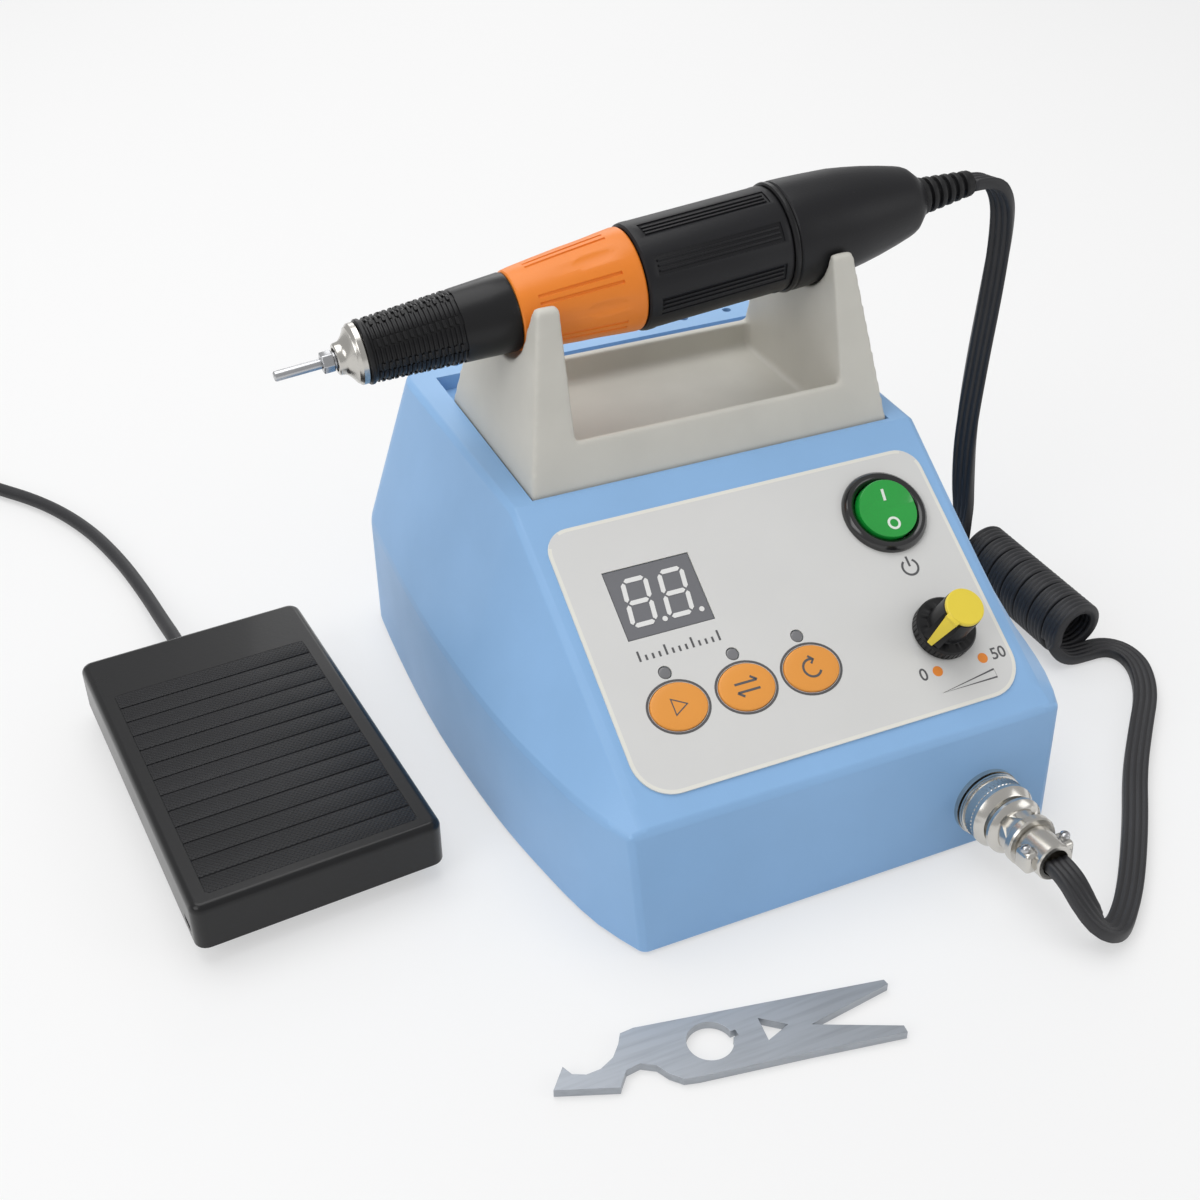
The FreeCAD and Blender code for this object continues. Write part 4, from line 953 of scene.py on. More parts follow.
rocker_o = stroke("rocker_off_mark", [ring_line(0, -3.7, 1.35)], 0.6, 0.0, 0.08)
rocker_o.data.transform(Matrix.Translation((0, 0, 2.02)) @ spun(-7, "X"))
printed(rocker_i, rocker_white, "rocker", ROCKER)
printed(rocker_o, rocker_white, "rocker", ROCKER)

# Speed knob: black moulded knob with a knurled skirt and a fin, pushed on the
# control's shaft; a yellow cap with its pointer is clipped on top.
knob_black = skin_material("knob_black", (0.010, 0.010, 0.011), rough=0.34, mottle=0.15, grain=2400.0,
                           dust=0.02,
                           specular=0.3)
knob = turned_form("speed_knob_body", [
    (3.05, 0.9), (7.0, 0.9), (7.3, 1.2), (7.3, 3.7), (6.9, 4.2), (5.0, 4.5), (4.7, 5.2), (4.6, 12.9),
    (4.3, 13.2),
    (3.05, 13.2), (3.05, 11.0), (0.0, 11.0), (0.0, 11.1), (3.05, 11.1),
], close=False)
fin = block((11.6, 4.6, 9.0), (-1.2, 0, 8.7))
choose(fin, "verts", lambda v: v.co.x < -6 and v.co.z > 12)
bpy.ops.transform.translate(value=(2.35, 0, 0))
choose(fin, "verts", lambda v: v.co.x > 4)
bpy.ops.transform.translate(value=(-4.6, 0, 0))
choose(fin, "verts", lambda v: v.co.x < -6)
bpy.ops.transform.translate(value=(0, 0, 0.8))
modify(knob, "BOOLEAN", operation="UNION", object=fin, solver="EXACT")
bpy.data.objects.remove(fin)
grip_cuts = []
for k in range(40):
    a = math.radians(9 * k)
    grip_cuts.append(round_bar(0.22, 1.5, 3.6, 7.38 * math.cos(a), 7.38 * math.sin(a), sides=8))
drill(knob, gather(grip_cuts))
ease(knob, 0.18, 2, 50)
smooth(knob, 38)
KNOB = PANEL @ Matrix.Translation((KNOB_U, KEY_ROW, 0)) @ spun(26, "Z")
settle(knob, KNOB, knob_black)
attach(knob, "knob")
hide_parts("speed_knob")

cap_yellow = skin_material("cap_yellow", (0.84, 0.66, 0.055), rough=0.42, mottle=0.05, grain=3200.0,
                           dust=0.02)
cap_disc = turned_form("knob_cap", [(0, 13.2), (4.3, 13.2), (4.5, 13.4), (4.5, 14.15), (4.25, 14.4),
                                    (0, 14.45)], close=False)
strip = block((9.6, 3.3, 0.5), (0, 0, 0))
choose(strip, "verts", lambda v: v.co.x < -4)
bpy.ops.transform.resize(value=(1, 0.42, 1), center_override=(0, 0, 0))
clear_choice()
strip.data.transform(Matrix.Translation((-6.0, 0, 9.3)) @ spun(-74.5, "Y"))
neck = block((3.2, 3.3, 0.9), (-3.6, 0, 13.75))
cap_piece = gather([cap_disc, strip, neck], "knob_pointer_cap")
ease(cap_piece, 0.12, 2, 50)
smooth(cap_piece, 38)
settle(cap_piece, KNOB, cap_yellow)
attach(cap_piece, "knob")
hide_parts("knob_pointer")

# Cradle: one thick moulding in warm light grey plastic with drafted walls, two
# horned ends that hold the handpiece and a tray between them. It sits in the recess.
cradle = block((93.4, 54.1, 44.0), (0, 100.05, 92.0))
for co, no in (
    ((0, 73, 74), (0, -40, 11)), ((0, 127.1, 74), (0, 33, 9.4)),
    ((46.7, 0, 74), (40, 0, 6.6)), ((-46.7, 0, 74), (-40, 0, 6.6)), ((0, 89, 114), (0, 7, 23)),
    ((0, 112, 107), (0, 1, 3)),
):
    choose(cradle, "faces", lambda f: True)
    bpy.ops.mesh.bisect(plane_co=co, plane_no=Vector(no).normalized(), use_fill=True, clear_outer=True)
choose(cradle, "faces", lambda f: True)
bpy.ops.mesh.normals_make_consistent(inside=False)
hollow = [block((69.4, 45.3, 60), (0, 100.05, 104)), block((69.4, 60, 60), (0, 62, 114.5)),
          block((69.4, 60, 60), (0, 121, 110.6))]
drill(cradle, *hollow)
for t0, t1, radius, wide in ((30, 48.7, 10.5, 13.4), (114, 140, 13.3, 13.5)):
    middle = HAND_NOSE + HAND_AXIS * 0.001 * (t0 + t1) / 2
    cx, cz = middle.x * 1000, middle.z * 1000
    clear_choice()
    bpy.ops.mesh.primitive_cylinder_add(vertices=64, radius=radius, depth=t1 - t0,
                                        rotation=(0, math.pi / 2 - HAND_TILT, 0),
                                        location=(cx, 99.2, cz))
    bowl = fresh("bowl")
    bpy.ops.object.transform_apply(location=True, rotation=True, scale=True)
    funnel = block((t1 - t0, 2 * radius * 0.97, 14), (cx, 99.2, cz + 6.2))
    choose(funnel, "verts", lambda v: v.co.z > cz + 6)
    bpy.ops.transform.resize(value=(1, 1 + (wide / radius - 1) * 1.3 + 0.1, 1),
                             center_override=(0, 99.2, 0))
    drill(cradle, bowl, funnel)
modify(cradle, "REMESH", mode="VOXEL", voxel_size=0.62)
modify(cradle, "SMOOTH", factor=0.5, iterations=9)
smooth(cradle, 60)
cradle_grey = skin_material("cradle_warm_grey", (0.640, 0.625, 0.570), rough=0.50, mottle=0.09,
                            grain=1700.0, dust=0.03,
                            depth=0.00005, strength=0.35)
cradle.name = "cradle_moulding"
settle(cradle, UNIT, cradle_grey)
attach(cradle, "control_unit")
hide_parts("cradle")

# Handpiece: everything is turned round one axis. Steel bur shank and hexagon
# collet in a nickelled nose, all held by the gripped front.
HAND = Matrix.Translation(HAND_NOSE) @ Matrix.Rotation(math.pi / 2 - HAND_TILT, 4, "Y") @ MM
steel = skin_material("ground_steel", (0.56, 0.565, 0.58), rough=0.26, mottle=0.15, grain=4200.0,
                      dust=0.0,
                      depth=0.00001, strength=0.25, metallic=1.0)
shank = turned_form("bur_shank_ground", [(0, -14), (0.9, -14), (1.175, -13.7), (1.175, 17.6), (0.9, 18),
                                         (0, 18)], 48,
                    close=False)
smooth(shank, 35)
settle(shank, HAND, steel)
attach(shank, "bur")
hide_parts("bur_shank")
nut = round_bar(2.5, -3.2, -0.5, sides=6)
ease(nut, 0.28, 3, 40)
drill(nut, round_bar(1.22, -5, 3, sides=32))
tube = turned_form("collet_tube", [(1.22, -0.5), (2.0, -0.5), (2.0, 19.8), (1.22, 19.8)], 48)
collet = gather([nut, tube], "collet_hexagon")
smooth(collet, 30)
settle(collet, HAND, steel)
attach(collet, "spindle")
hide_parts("collet")
nose = turned_form("nose_nickelled", [
    (2.7, 0.0), (3.35, 0.0), (3.6, 0.25), (3.75, 1.3), (3.9, 1.7), (4.25, 2.1), (5.0, 2.75),
    (5.9, 3.35), (6.35, 3.6),
    (6.5, 3.9), (6.85, 4.2), (7.0, 4.45), (7.0, 5.65), (6.85, 5.8), (5.6, 5.8), (5.6, 12.0),
    (3.4, 12.0), (3.4, 2.0),
    (2.7, 2.0),
])
smooth(nose, 28)
settle(nose, HAND, nickel)
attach(nose, "handpiece")
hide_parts("nose_cone")

# Front grip: black anodised sleeve with fine rings and eight rows of small teeth.
grip_black = skin_material("grip_black", (0.011, 0.011, 0.012), rough=0.34, mottle=0.15, grain=2400.0,
                           dust=0.02,
                           specular=0.30)
lines = [(5.65, 6.0), (7.2, 6.0), (7.45, 6.3), (7.45, 6.9)]
ring_count, ring_from, ring_to = 20, 7.2, 28.6
for k in range(ring_count):
    z0 = ring_from + (ring_to - ring_from) * k / ring_count
    r = 7.2 + 2.0 * (z0 - 6.0) / 35.2
    lines += [(r, z0), (r - 0.36, z0 + 0.2), (r - 0.36, z0 + 0.55), (r, z0 + 0.75)]
lines += [(8.5, 29.0), (8.9, 36.0), (9.15, 40.6), (9.0, 41.2), (5.65, 41.2)]
grip = turned_form("front_grip_sleeve", lines)
rows = []
for k in range(8):
    slot_cut = block((1.2, 2.4, 20.6), (0, 0, 0))
    slot_cut.data.transform(spun(45 * k + 10, "Z") @ Matrix.Translation((7.96, 0, 18.1))
                            @ spun(3.25, "Y"))
    rows.append(slot_cut)
drill(grip, gather(rows))
teeth = []
for k in range(8):
    for j in range(13):
        z = 9.0 + j * 1.5
        r = 7.2 + 2.0 * (z - 6.0) / 35.2 - 0.33
        tooth = block((0.7, 1.8, 0.75), (r, 0, z))
        tooth.data.transform(spun(45 * k + 10, "Z"))
        teeth.append(tooth)
tooth_rows = gather(teeth, "front_grip_teeth")
modify(tooth_rows, "BEVEL", width=0.14, segments=2)
grip = gather([grip, tooth_rows], "front_grip_sleeve")
smooth(grip, 30)
settle(grip, HAND, grip_black)
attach(grip, "handpiece")
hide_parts("front_grip")

# Twist ring: orange plastic, locks and frees the collet. Paired shallow grooves
# and oval finger scoops alternate round it.
twist_orange = skin_material("twist_orange", (0.86, 0.235, 0.018), rough=0.40, mottle=0.06,
                             grain=2100.0, dust=0.02)
ring = turned_form("twist_ring_orange", [
    (8.15, 41.5), (9.0, 41.5), (9.35, 41.8), (9.7, 44.0), (10.35, 50.0), (11.05, 57.0), (11.6, 63.0),
    (12.05, 68.0),
    (12.2, 69.6), (12.15, 70.5), (11.85, 70.9), (8.15, 70.9),
])
grooves = []
for k in range(6):
    for off in (-5.0, 5.0):
        bar = round_bar(0.42, -10.0, 10.0, sides=10)
        bar.data.transform(spun(60 * k + off, "Z") @ Matrix.Translation((10.92, 0, 56.0))
                           @ spun(5.3, "Y"))
        grooves.append(bar)
drill(ring, gather(grooves))
scoops = []
for k in range(6):
    clear_choice()
    bpy.ops.mesh.primitive_uv_sphere_add(segments=32, ring_count=20, radius=1)
    scoop = fresh("scoop")
    scoop.data.transform(spun(60 * k + 30, "Z") @ Matrix.Translation((12.85, 0, 61.0))
                         @ spun(5.5, "Y") @ Matrix.Diagonal((1.9, 3.4, 8.4, 1)))
    scoops.append(scoop)
drill(ring, gather(scoops))
smooth(ring, 30)
settle(ring, HAND, twist_orange)
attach(ring, "twist_ring")
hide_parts("twist_ring")

# Motor housing: black moulded sleeve, broad flat panels between channels that
# each hold a pair of thin ribs; a thin flange ring closes it.
housing_black = skin_material("housing_black", (0.012, 0.012, 0.014), rough=0.42, mottle=0.2,
                              grain=1500.0, dust=0.02,
                              depth=0.00006, strength=0.45, specular=0.28)
housing = turned_form("motor_housing_sleeve", [
    (10.95, 75.2), (4.0, 75.2), (4.0, 71.2), (12.1, 71.2), (12.6, 71.6), (12.75, 72.4), (12.75, 107.6),
    (12.5, 108.4),
    (12.1, 108.6), (10.95, 108.6),
])
channels, thin_ribs = [], []
for k in range(8):
    spin = spun(45 * k + 14, "Z")
    channel = block((1.5, 4.6, 32.4), (12.95, 0, 90.2))
    channel.data.transform(spin)
    channels.append(channel)
    for off in (-1.15, 0.0, 1.15):
        rib = block((0.5, 0.5, 31.2), (12.3, off, 90.2))
        rib.data.transform(spin)
        thin_ribs.append(rib)
drill(housing, gather(channels))
ease(housing, 0.22, 2, 45)
rib_piece = gather(thin_ribs, "housing_ribs")
modify(rib_piece, "BEVEL", width=0.14, segments=2)
housing = gather([housing, rib_piece], "motor_housing_sleeve")
smooth(housing, 32)
settle(housing, HAND, housing_black)
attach(housing, "handpiece")
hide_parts("motor_housing")
flange = turned_form("flange_ring_black", [
    (9.0, 108.7), (12.8, 108.7), (13.2, 109.0), (13.3, 109.4), (13.2, 109.9), (12.8, 110.2),
    (9.0, 110.2),
])
smooth(flange, 35)
settle(flange, HAND, grip_black)
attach(flange, "handpiece")
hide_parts("flange_ring")

# End cap and strain relief: matte black moulded cap, soft ribbed sleeve round
# the cord where it leaves.
cap = turned_form("end_cap_matte", [
    (10.2, 110.3), (12.8, 110.3), (13.15, 110.7), (13.2, 111.4), (13.1, 115.0), (12.85, 120.0),
    (12.45, 126.5),
    (11.8, 131.0), (11.0, 135.5), (9.9, 140.5), (8.9, 144.4), (8.5, 145.6), (8.0, 146.6), (5.6, 149.2),
    (5.0, 149.6),
    (3.5, 149.6), (3.5, 141.6), (7.0, 135.6), (10.2, 126.5),
])
smooth(cap, 35)
settle(cap, HAND, housing_black)
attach(cap, "handpiece")
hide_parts("end_cap")
relief_rubber = skin_material("relief_rubber", (0.011, 0.011, 0.012), rough=0.5, mottle=0.2,
                              grain=2000.0, dust=0.02,
                              specular=0.3)
lines = [(0, 142.6), (3.4, 142.6), (3.4, 149.7), (4.6, 149.8), (4.7, 150.6), (4.5, 151.2)]
for k in range(5):
    z0 = 151.4 + 2.55 * k
    r = 4.35 - 0.26 * k
    lines += [(r - 0.85, z0), (r - 0.9, z0 + 0.75), (r - 0.1, z0 + 0.95), (r, z0 + 1.25), (r, z0 + 1.9),
              (r - 0.15, z0 + 2.2)]
lines += [(3.2, 164.4), (2.9, 165.0), (0, 165.0)]
relief = turned_form("strain_relief_sleeve", lines, 72, close=False)
smooth(relief, 35)
settle(relief, HAND, relief_rubber)
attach(relief, "handpiece")
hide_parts("strain_relief")

# Inside the handpiece: ground spindle in two ball bearings, wound rotor with its
# commutator, magnet halves, brushes in their holder and a brass locking sleeve.
brass = skin_material("plain_brass", (0.60, 0.42, 0.16), rough=0.30, mottle=0.15, grain=3800.0,
                      dust=0.0, metallic=1.0)
magnet = skin_material("sintered_magnet", (0.09, 0.09, 0.10), rough=0.6, mottle=0.25, grain=1400.0,
                       depth=0.00008)
winding = skin_material("varnished_copper", (0.45, 0.17, 0.05), rough=0.35, mottle=0.3, grain=1800.0,
                        depth=0.0001,
                        strength=0.6, metallic=0.6)
coat_node(brass, "lock_sleeve")
coat_node(magnet, "field_magnets", "brushes")
coat_node(winding, "rotor")
coat_node(steel, "spindle", "bearings")
coat_node(base_black, "brush_holder")

# Screw plug on the front: nickelled coupling ring with a straight knurl, a body
# with milled flats, and a two-screw clamp that holds the flat cord.
FRONT = UNIT @ FRONT_IN_UNIT
coupling = turned_form("coupling_ring_knurled", [
    (6.65, 1.5), (7.7, 1.5), (8.2, 1.7), (8.2, 2.1), (7.75, 2.25), (8.15, 2.45), (8.15, 2.75),
    (7.7, 2.9), (7.7, 3.2),
    (7.95, 3.3), (7.95, 4.4), (7.95, 5.5), (7.7, 5.65), (7.7, 6.0), (8.1, 6.2), (8.1, 7.0), (6.9, 8.7),
    (6.6, 8.9),
    (5.45, 8.9), (5.45, 7.0), (6.65, 7.0),
], 144)
for vert in coupling.data.vertices:
    if 3.25 < vert.co.z < 5.55 and math.hypot(vert.co.x, vert.co.y) > 7.8:
        a = math.atan2(vert.co.y, vert.co.x)
        shift = 1 - 0.022 * (1 + math.cos(48 * a + 2.2 * vert.co.z))
        vert.co.x *= shift
        vert.co.y *= shift
smooth(coupling, 24)
settle(coupling, FRONT, nickel)
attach(coupling, "plug_ring")
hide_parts("plug_ring")
barrel = turned_form("plug_barrel", [
    (0, 1.6), (4.6, 1.6), (4.6, 7.2), (5.4, 7.2), (5.4, 10.1), (6.9, 10.25), (7.2, 10.5), (7.2, 11.2),
    (6.4, 12.2),
    (5.5, 12.6), (5.4, 15.2), (6.0, 15.8), (6.3, 16.1), (6.3, 17.5), (6.0, 18.0), (0, 18.0),
], close=False)
flats = []
for k in range(4):
    a = math.radians(90 * k + 45)
    flat = block((2.0, 6.0, 3.1), (5.55, 0, 13.95))
    choose(flat, "verts", lambda v: v.co.z < 13)
    bpy.ops.transform.resize(value=(1, 0.35, 1), center_override=(0, 0, 13))
    clear_choice()
    flat.data.transform(Matrix.Rotation(a, 4, "Z"))
    flats.append(flat)
drill(barrel, gather(flats))
smooth(barrel, 28)
settle(barrel, FRONT, nickel)
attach(barrel, "control_unit")
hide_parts("plug_body")
collar = turned_form("clamp_collar", [(3.3, 18.0), (4.3, 18.0), (4.6, 18.3), (4.6, 25.6), (4.3, 26.0),
                                      (3.3, 26.0)], 64)
saddle = block((12.8, 5.2, 4.8), (0, 0, 22.0))
ease(saddle, 1.1, 4, 60)
opening = round_bar(3.9, 15, 30, sides=40, stretch=0.55)
drill(saddle, opening)
clamp = gather([collar, saddle], "cord_clamp")
smooth(clamp, 35)
settle(clamp, FRONT, nickel)
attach(clamp, "control_unit")
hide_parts("plug_clamp")
heads = []
for x in (-5.2, 5.2):
    head = turned_form("screw_head", [(0, 0), (1.15, 0), (1.15, 0.7), (1.0, 1.05), (0.6, 1.3),
                                      (0, 1.35)], 32, close=False)
    drill(head, block((2.6, 0.32, 0.8), (0, 0, 1.25)))
    head.data.transform(Matrix.Translation((x, 2.55, 22.0)) @ spun(-90, "X"))
    heads.append(head)
screws = gather(heads, "clamp_screw_heads")
smooth(screws, 35)
settle(screws, FRONT, steel)
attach(screws, "control_unit")
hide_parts("clamp_screws")

# Inside the control unit: board on its posts, wound transformer, speed control.
board_green = skin_material("board_green", (0.02, 0.14, 0.05), rough=0.35, mottle=0.2, grain=900.0,
                            depth=0.00004)
post_white = skin_material("post_white", (0.6, 0.6, 0.57), rough=0.5, mottle=0.08)
coat_node(board_green, "circuit_board")
coat_node(post_white, "board_posts")
coat_node(winding, "transformer")
coat_node(steel, "potentiometer", "pot_shaft", "base_screws")

# Foot pedal: glossy-edged black treadle hinged at the rear over a plate, with a
# matte ribbed tread in its top, a return spring, a switch and rubber feet.
PEDAL = Matrix.Translation(PEDAL_AT) @ Matrix.Rotation(PEDAL_YAW, 4, "Z") @ MM
pedal_black = skin_material("pedal_black", (0.010, 0.010, 0.011), rough=0.30, mottle=0.2, grain=1100.0,
                            dust=0.02,
                            depth=0.00005, strength=0.35, specular=0.30, coat=0.15)
treadle = block((58, 99, 11.8), (29, 49.5, 10.7))
choose(treadle, "edges", lambda e: abs(e.verts[0].co.z - e.verts[1].co.z) > 5)
bpy.ops.mesh.bevel(offset=3.0, segments=6, affect="EDGES")
choose(treadle, "edges", lambda e: all(v.co.z > 16.5 for v in e.verts))
bpy.ops.mesh.bevel(offset=1.9, segments=5, affect="EDGES")
drill(treadle, block((53.6, 94.6, 12.0), (29, 49.5, 8.0)))
drill(treadle, block((8.0, 4, 12.6), (27, 98, 5.0)))
well = block((49.2, 77.2, 2.0), (29, 42.4, 17.1))
ease(well, 1.2, 3, 60)
drill(treadle, well)
side_slot = block((3.0, 4.4, 1.5), (0.6, 6.6, 7.8))
drill(treadle, side_slot)
lugs = [block((3.0, 6.8, 8.4), (x, 90, 10.0)) for x in (8.9, 49.1)]
ease(treadle, 0.35, 2, 50)
lug_piece = gather(lugs, "lugs")
pin_hole = round_bar(1.55, 0, 58, sides=32)
pin_hole.data.transform(Matrix.Translation((0, 90, 9.2)) @ Matrix.Rotation(math.pi / 2, 4, "Y"))
drill(lug_piece, pin_hole)
treadle = gather([treadle, lug_piece], "treadle_shell")
smooth(treadle, 32)
modify(treadle, "WEIGHTED_NORMAL", keep_sharp=True, weight=90)
settle(treadle, PEDAL, pedal_black)
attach(treadle, "treadle")
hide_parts("pedal_treadle")

# pimples: the fine staggered dots moulded in the tread
pimples, pimple_in, pimple_out = effect("pimples", (
    ("Dots per metre", "INPUT", "NodeSocketFloat", 900.0),
    ("Height", "OUTPUT", "NodeSocketFloat", None),
))
g = pimples
where = add_node(g, "TexCoord")
turn = add_node(g, "Mapping", {"Rotation": (0, 0, math.radians(-4.4 - 45))})
wire(g, where.outputs["Object"], turn.inputs["Vector"])
size = add_node(g, "VectorMath", operation="SCALE")
wire(g, turn.outputs["Vector"], size.inputs[0])
wire(g, pimple_in.outputs["Dots per metre"], size.inputs["Scale"])
cell = add_node(g, "VectorMath", operation="FRACTION")
wire(g, size.outputs["Vector"], cell.inputs[0])
axes = add_node(g, "SeparateXYZ")
wire(g, cell.outputs["Vector"], axes.inputs[0])
bumps = []
for label in ("X", "Y"):
    off_middle = add_node(g, "Math", {1: 0.5}, operation="SUBTRACT")
    wire(g, axes.outputs[label], off_middle.inputs[0])
    squared = add_node(g, "Math", operation="MULTIPLY")
    wire(g, off_middle.outputs[0], squared.inputs[0])
    wire(g, off_middle.outputs[0], squared.inputs[1])
    bumps.append(squared)
total = add_node(g, "Math", operation="ADD")
wire(g, bumps[0].outputs[0], total.inputs[0])
wire(g, bumps[1].outputs[0], total.inputs[1])
dome = add_node(g, "MapRange", {"From Min": 0.03, "From Max": 0.14, "To Min": 1.0, "To Max": 0.0})
wire(g, total.outputs[0], dome.inputs["Value"])
wire(g, dome.outputs["Result"], pimple_out.inputs["Height"])

tread_black = skin_material("tread_black", (0.013, 0.013, 0.015), rough=0.48, mottle=0.25, grain=1400.0,
                            dust=0.03,
                            specular=0.32)
tree = tread_black.node_tree
dots_node = add_node(tree, "Group", {"Dots per metre": 1150.0}, node_tree=pimples)
dots_relief = add_node(tree, "Bump", {"Strength": 0.9, "Distance": 0.00018})
wire(tree, dots_node.outputs["Height"], dots_relief.inputs["Height"])
fine = next(n for n in tree.nodes if n.type == "BUMP" and n.name != dots_relief.name)
wire(tree, fine.outputs["Normal"], dots_relief.inputs["Normal"])
wire(tree, dots_relief.outputs["Normal"], tree.nodes["Principled BSDF"].inputs["Normal"])
tread = block((48.8, 76.8, 0.5), (29, 42.4, 16.35))
drill(tread, gather([block((50, 0.45, 0.6), (29, 9.2 + 6.0 * k, 16.62)) for k in range(12)]))
ease(tread, 0.12, 2, 50)
tread.name = "tread_ribbed"
smooth(tread, 35)
settle(tread, PEDAL, tread_black)
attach(tread, "treadle")
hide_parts("tread_mat")

gland_sleeve = turned_form("pedal_gland_sleeve", [
    (0, 0), (3.0, 0), (3.0, 3.6), (2.85, 3.9), (2.85, 4.4), (3.0, 4.7), (2.75, 5.4), (2.7, 5.9),
    (2.4, 6.4), (0, 6.4),
], 48, close=False)
gland_sleeve.data.transform(Matrix.Translation((27, 95.6, 7)) @ spun(-90, "X"))
smooth(gland_sleeve, 35)
settle(gland_sleeve, PEDAL, relief_rubber)
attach(gland_sleeve, "control_unit")
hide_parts("pedal_gland")
coat_node(base_black, "pedal_base", "pedal_switch")
coat_node(steel, "pedal_pin")

# Return spring: wound spring steel between base and treadle, which gives way as the treadle goes down
# in the real pedal; here the part's wound mesh is copied as it stands.
spring_node = bpy.data.objects["pedal_spring"]
spring = new_object("pedal_spring_wound", spring_node.data.copy())
spring.data.transform(spring_node.matrix_world)
spring.data.materials.clear()
take(spring)
choose(spring, "verts", lambda v: True)
bpy.ops.mesh.remove_doubles(threshold=0.000001)
smooth(spring, 60)
settle(spring, Matrix.Identity(4), steel)
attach(spring, "control_unit")
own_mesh(spring)
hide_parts("pedal_spring")

# Jack plug on the pedal cord: black moulded handle, nickelled shaft with a tip.
tail = at(coil_x - 25.0, coil_back + coil_r0, lay + coil_step)
JACK = Matrix.Translation(tail) @ spun(-90, "Y") @ MM
handle = turned_form("jack_handle", [
    (0, 0), (2.9, 0), (3.2, 0.4), (6.4, 5.0), (6.65, 5.6), (6.65, 9.0), (6.3, 9.4), (6.3, 10.0),
    (6.65, 10.4),
    (6.65, 22.6), (6.3, 23.6), (5.6, 24.0), (0, 24.0),
], close=False)
smooth(handle, 35)
settle(handle, JACK, gloss_black)
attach(handle, "control_unit")
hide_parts("pedal_plug")
shaft = turned_form("jack_shaft", [
    (0, 24.0), (3.1, 24.0), (3.1, 38.0), (2.9, 38.3), (2.9, 39.0), (3.1, 39.3), (3.1, 44.6),
    (2.4, 45.4), (2.1, 45.9),
    (3.0, 46.8), (2.6, 48.4), (1.2, 50.0), (0, 50.0),
], close=False)
smooth(shaft, 30)
settle(shaft, JACK, nickel)
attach(shaft, "control_unit")

# Wrench: stamped flat steel, ground faces, with a hooked foot, a keyed hole, a
# triangle and a forked end.
wrench_line = [
    (-84.5, -26.2), (-80.6, -21.6), (-79.6, -24.0), (-77.0, -25.3), (-73.8, -25.2), (-70.4, -23.6),
    (-68.0, -20.9),
    (-66.6, -18.6), (-63.5, -18.4), (-30.0, -24.6), (-9.6, -28.4), (-9.4, -29.8), (-29.6, -32.6),
    (-12.4, -40.6),
    (-12.6, -42.4), (-33.0, -38.8), (-56.6, -35.0), (-59.6, -34.2), (-61.8, -31.8), (-63.2, -29.0),
    (-66.0, -27.2),
    (-69.2, -27.6), (-71.4, -30.2), (-72.0, -31.0),
]
clear_choice()
bpy.ops.mesh.primitive_circle_add(vertices=len(wrench_line), radius=10, fill_type="NGON")
wrench = fresh("wrench_stamped")
for vert, (x, y) in zip(wrench.data.vertices, wrench_line):
    vert.co = (x, y, 0.05)
bpy.ops.object.mode_set(mode="EDIT")
bpy.ops.mesh.select_all(action="SELECT")
bpy.ops.mesh.extrude_region_move(TRANSFORM_OT_translate={"value": (0, 0, 2.0)})
face_outwards()
hole = round_bar(4.9, -2, 5, -50.6, -27.9, sides=64)
key = block((2.0, 1.6, 6), (-45.6, -28.2, 1))
clear_choice()
bpy.ops.mesh.primitive_cylinder_add(vertices=3, radius=3, depth=6)
triangle = fresh("triangle")
corners = [(-38.9, -26.6), (-34.0, -30.6), (-39.6, -32.6)]
for vert in triangle.data.vertices:
    angle = round(math.degrees(math.atan2(vert.co.x, vert.co.y))) % 360
    x, y = corners[(angle + 60) // 120 % 3]
    vert.co = (x, y, vert.co.z)
bpy.ops.object.mode_set(mode="EDIT")
face_outwards()
drill(wrench, hole, key, triangle)
ease(wrench, 0.28, 3, 30)
smooth(wrench, 35)
modify(wrench, "WEIGHTED_NORMAL", keep_sharp=True, weight=90)
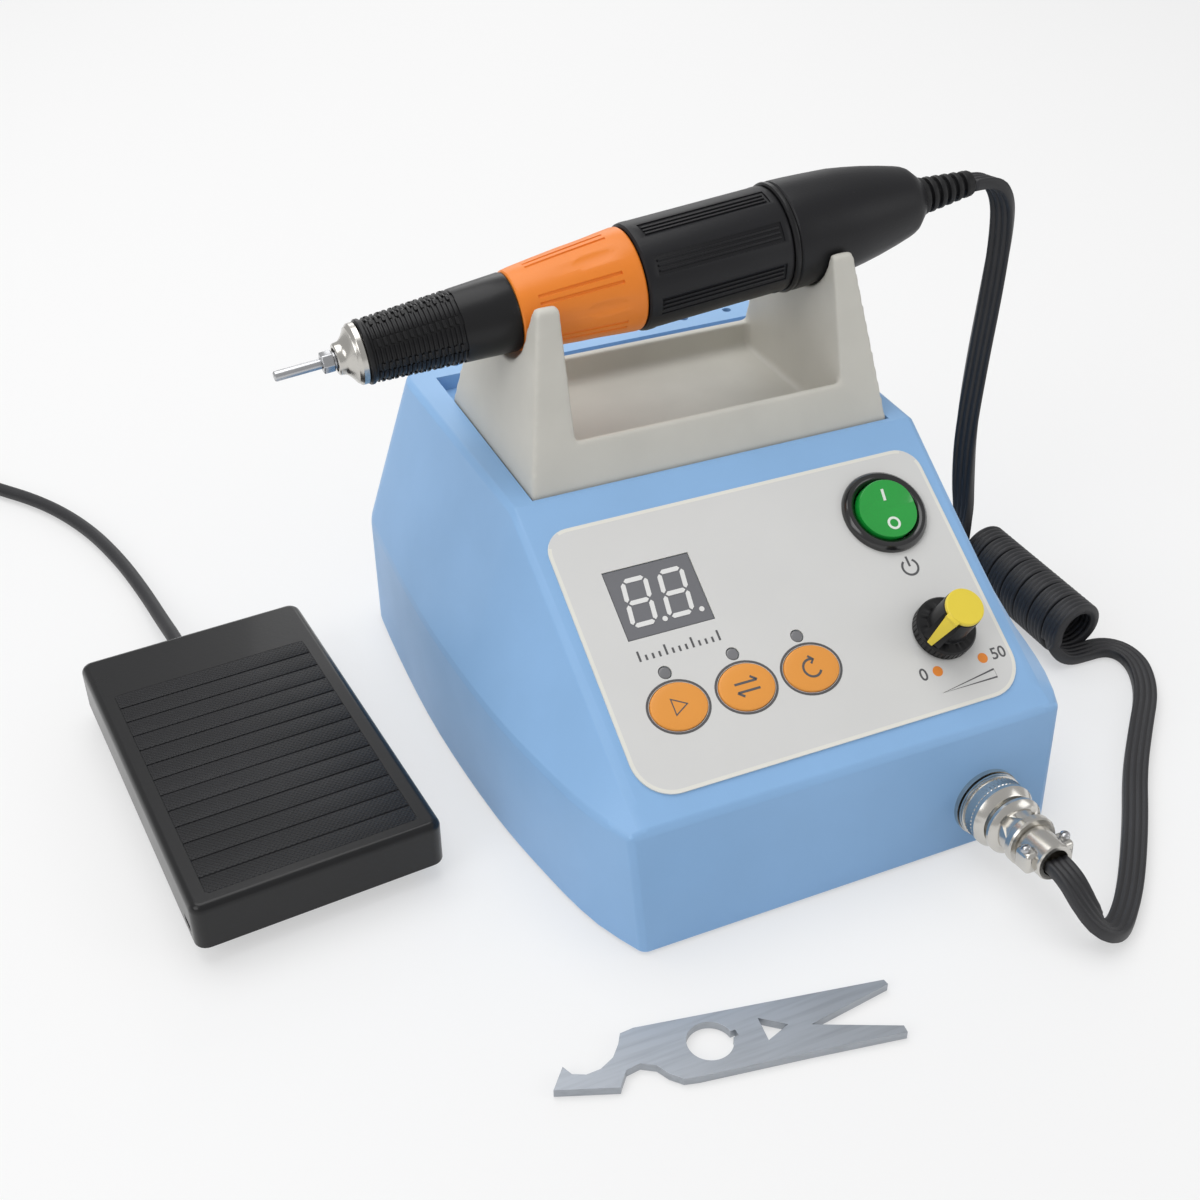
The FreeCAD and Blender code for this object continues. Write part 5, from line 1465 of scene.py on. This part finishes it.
rolled, rolled_in, rolled_out = effect("rolled_sheet", (
    ("Colour", "INPUT", "NodeSocketColor", (0.5, 0.5, 0.5, 1)),
    ("Mottle", "INPUT", "NodeSocketFloat", 0.1),
    ("Grain per metre", "INPUT", "NodeSocketFloat", 700.0),
    ("Roughness", "INPUT", "NodeSocketFloat", 0.3),
    ("Dust", "INPUT", "NodeSocketFloat", 0.0),
    ("Colour", "OUTPUT", "NodeSocketColor", None),
    ("Roughness", "OUTPUT", "NodeSocketFloat", None),
    ("Height", "OUTPUT", "NodeSocketFloat", None),
))
g = rolled
where = add_node(g, "TexCoord")
turn = add_node(g, "Mapping", {"Rotation": (0, 0, math.radians(10)), "Scale": (0.06, 1.0, 1.0)})
wire(g, where.outputs["Object"], turn.inputs["Vector"])
scratch = add_node(g, "TexNoise", {"Detail": 5.0})
wire(g, turn.outputs["Vector"], scratch.inputs["Vector"])
wire(g, rolled_in.outputs["Grain per metre"], scratch.inputs["Scale"])
cloud = add_node(g, "TexNoise", {"Scale": 30.0})
wire(g, where.outputs["Object"], cloud.inputs["Vector"])
darker = add_node(g, "Math", operation="MULTIPLY_ADD", use_clamp=True)
wire(g, scratch.outputs["Fac"], darker.inputs[0])
wire(g, rolled_in.outputs["Mottle"], darker.inputs[1])
darker.inputs[2].default_value = 0.72
tone = add_node(g, "VectorMath", operation="SCALE")
wire(g, rolled_in.outputs["Colour"], tone.inputs[0])
wire(g, darker.outputs[0], tone.inputs["Scale"])
wire(g, tone.outputs[0], rolled_out.inputs["Colour"])
matt = add_node(g, "Math", {1: 0.25}, operation="MULTIPLY_ADD")
wire(g, cloud.outputs["Fac"], matt.inputs[0])
wire(g, rolled_in.outputs["Roughness"], matt.inputs[2])
wire(g, matt.outputs[0], rolled_out.inputs["Roughness"])
wire(g, scratch.outputs["Fac"], rolled_out.inputs["Height"])
plate_steel = skin_material("rolled_steel", (0.40, 0.425, 0.46), rough=0.34, mottle=0.5, grain=900.0,
                            depth=0.00002,
                            strength=0.4, metallic=1.0, group=rolled)
settle(wrench, UNIT, plate_steel)
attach(wrench, "wrench")
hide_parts("wrench")
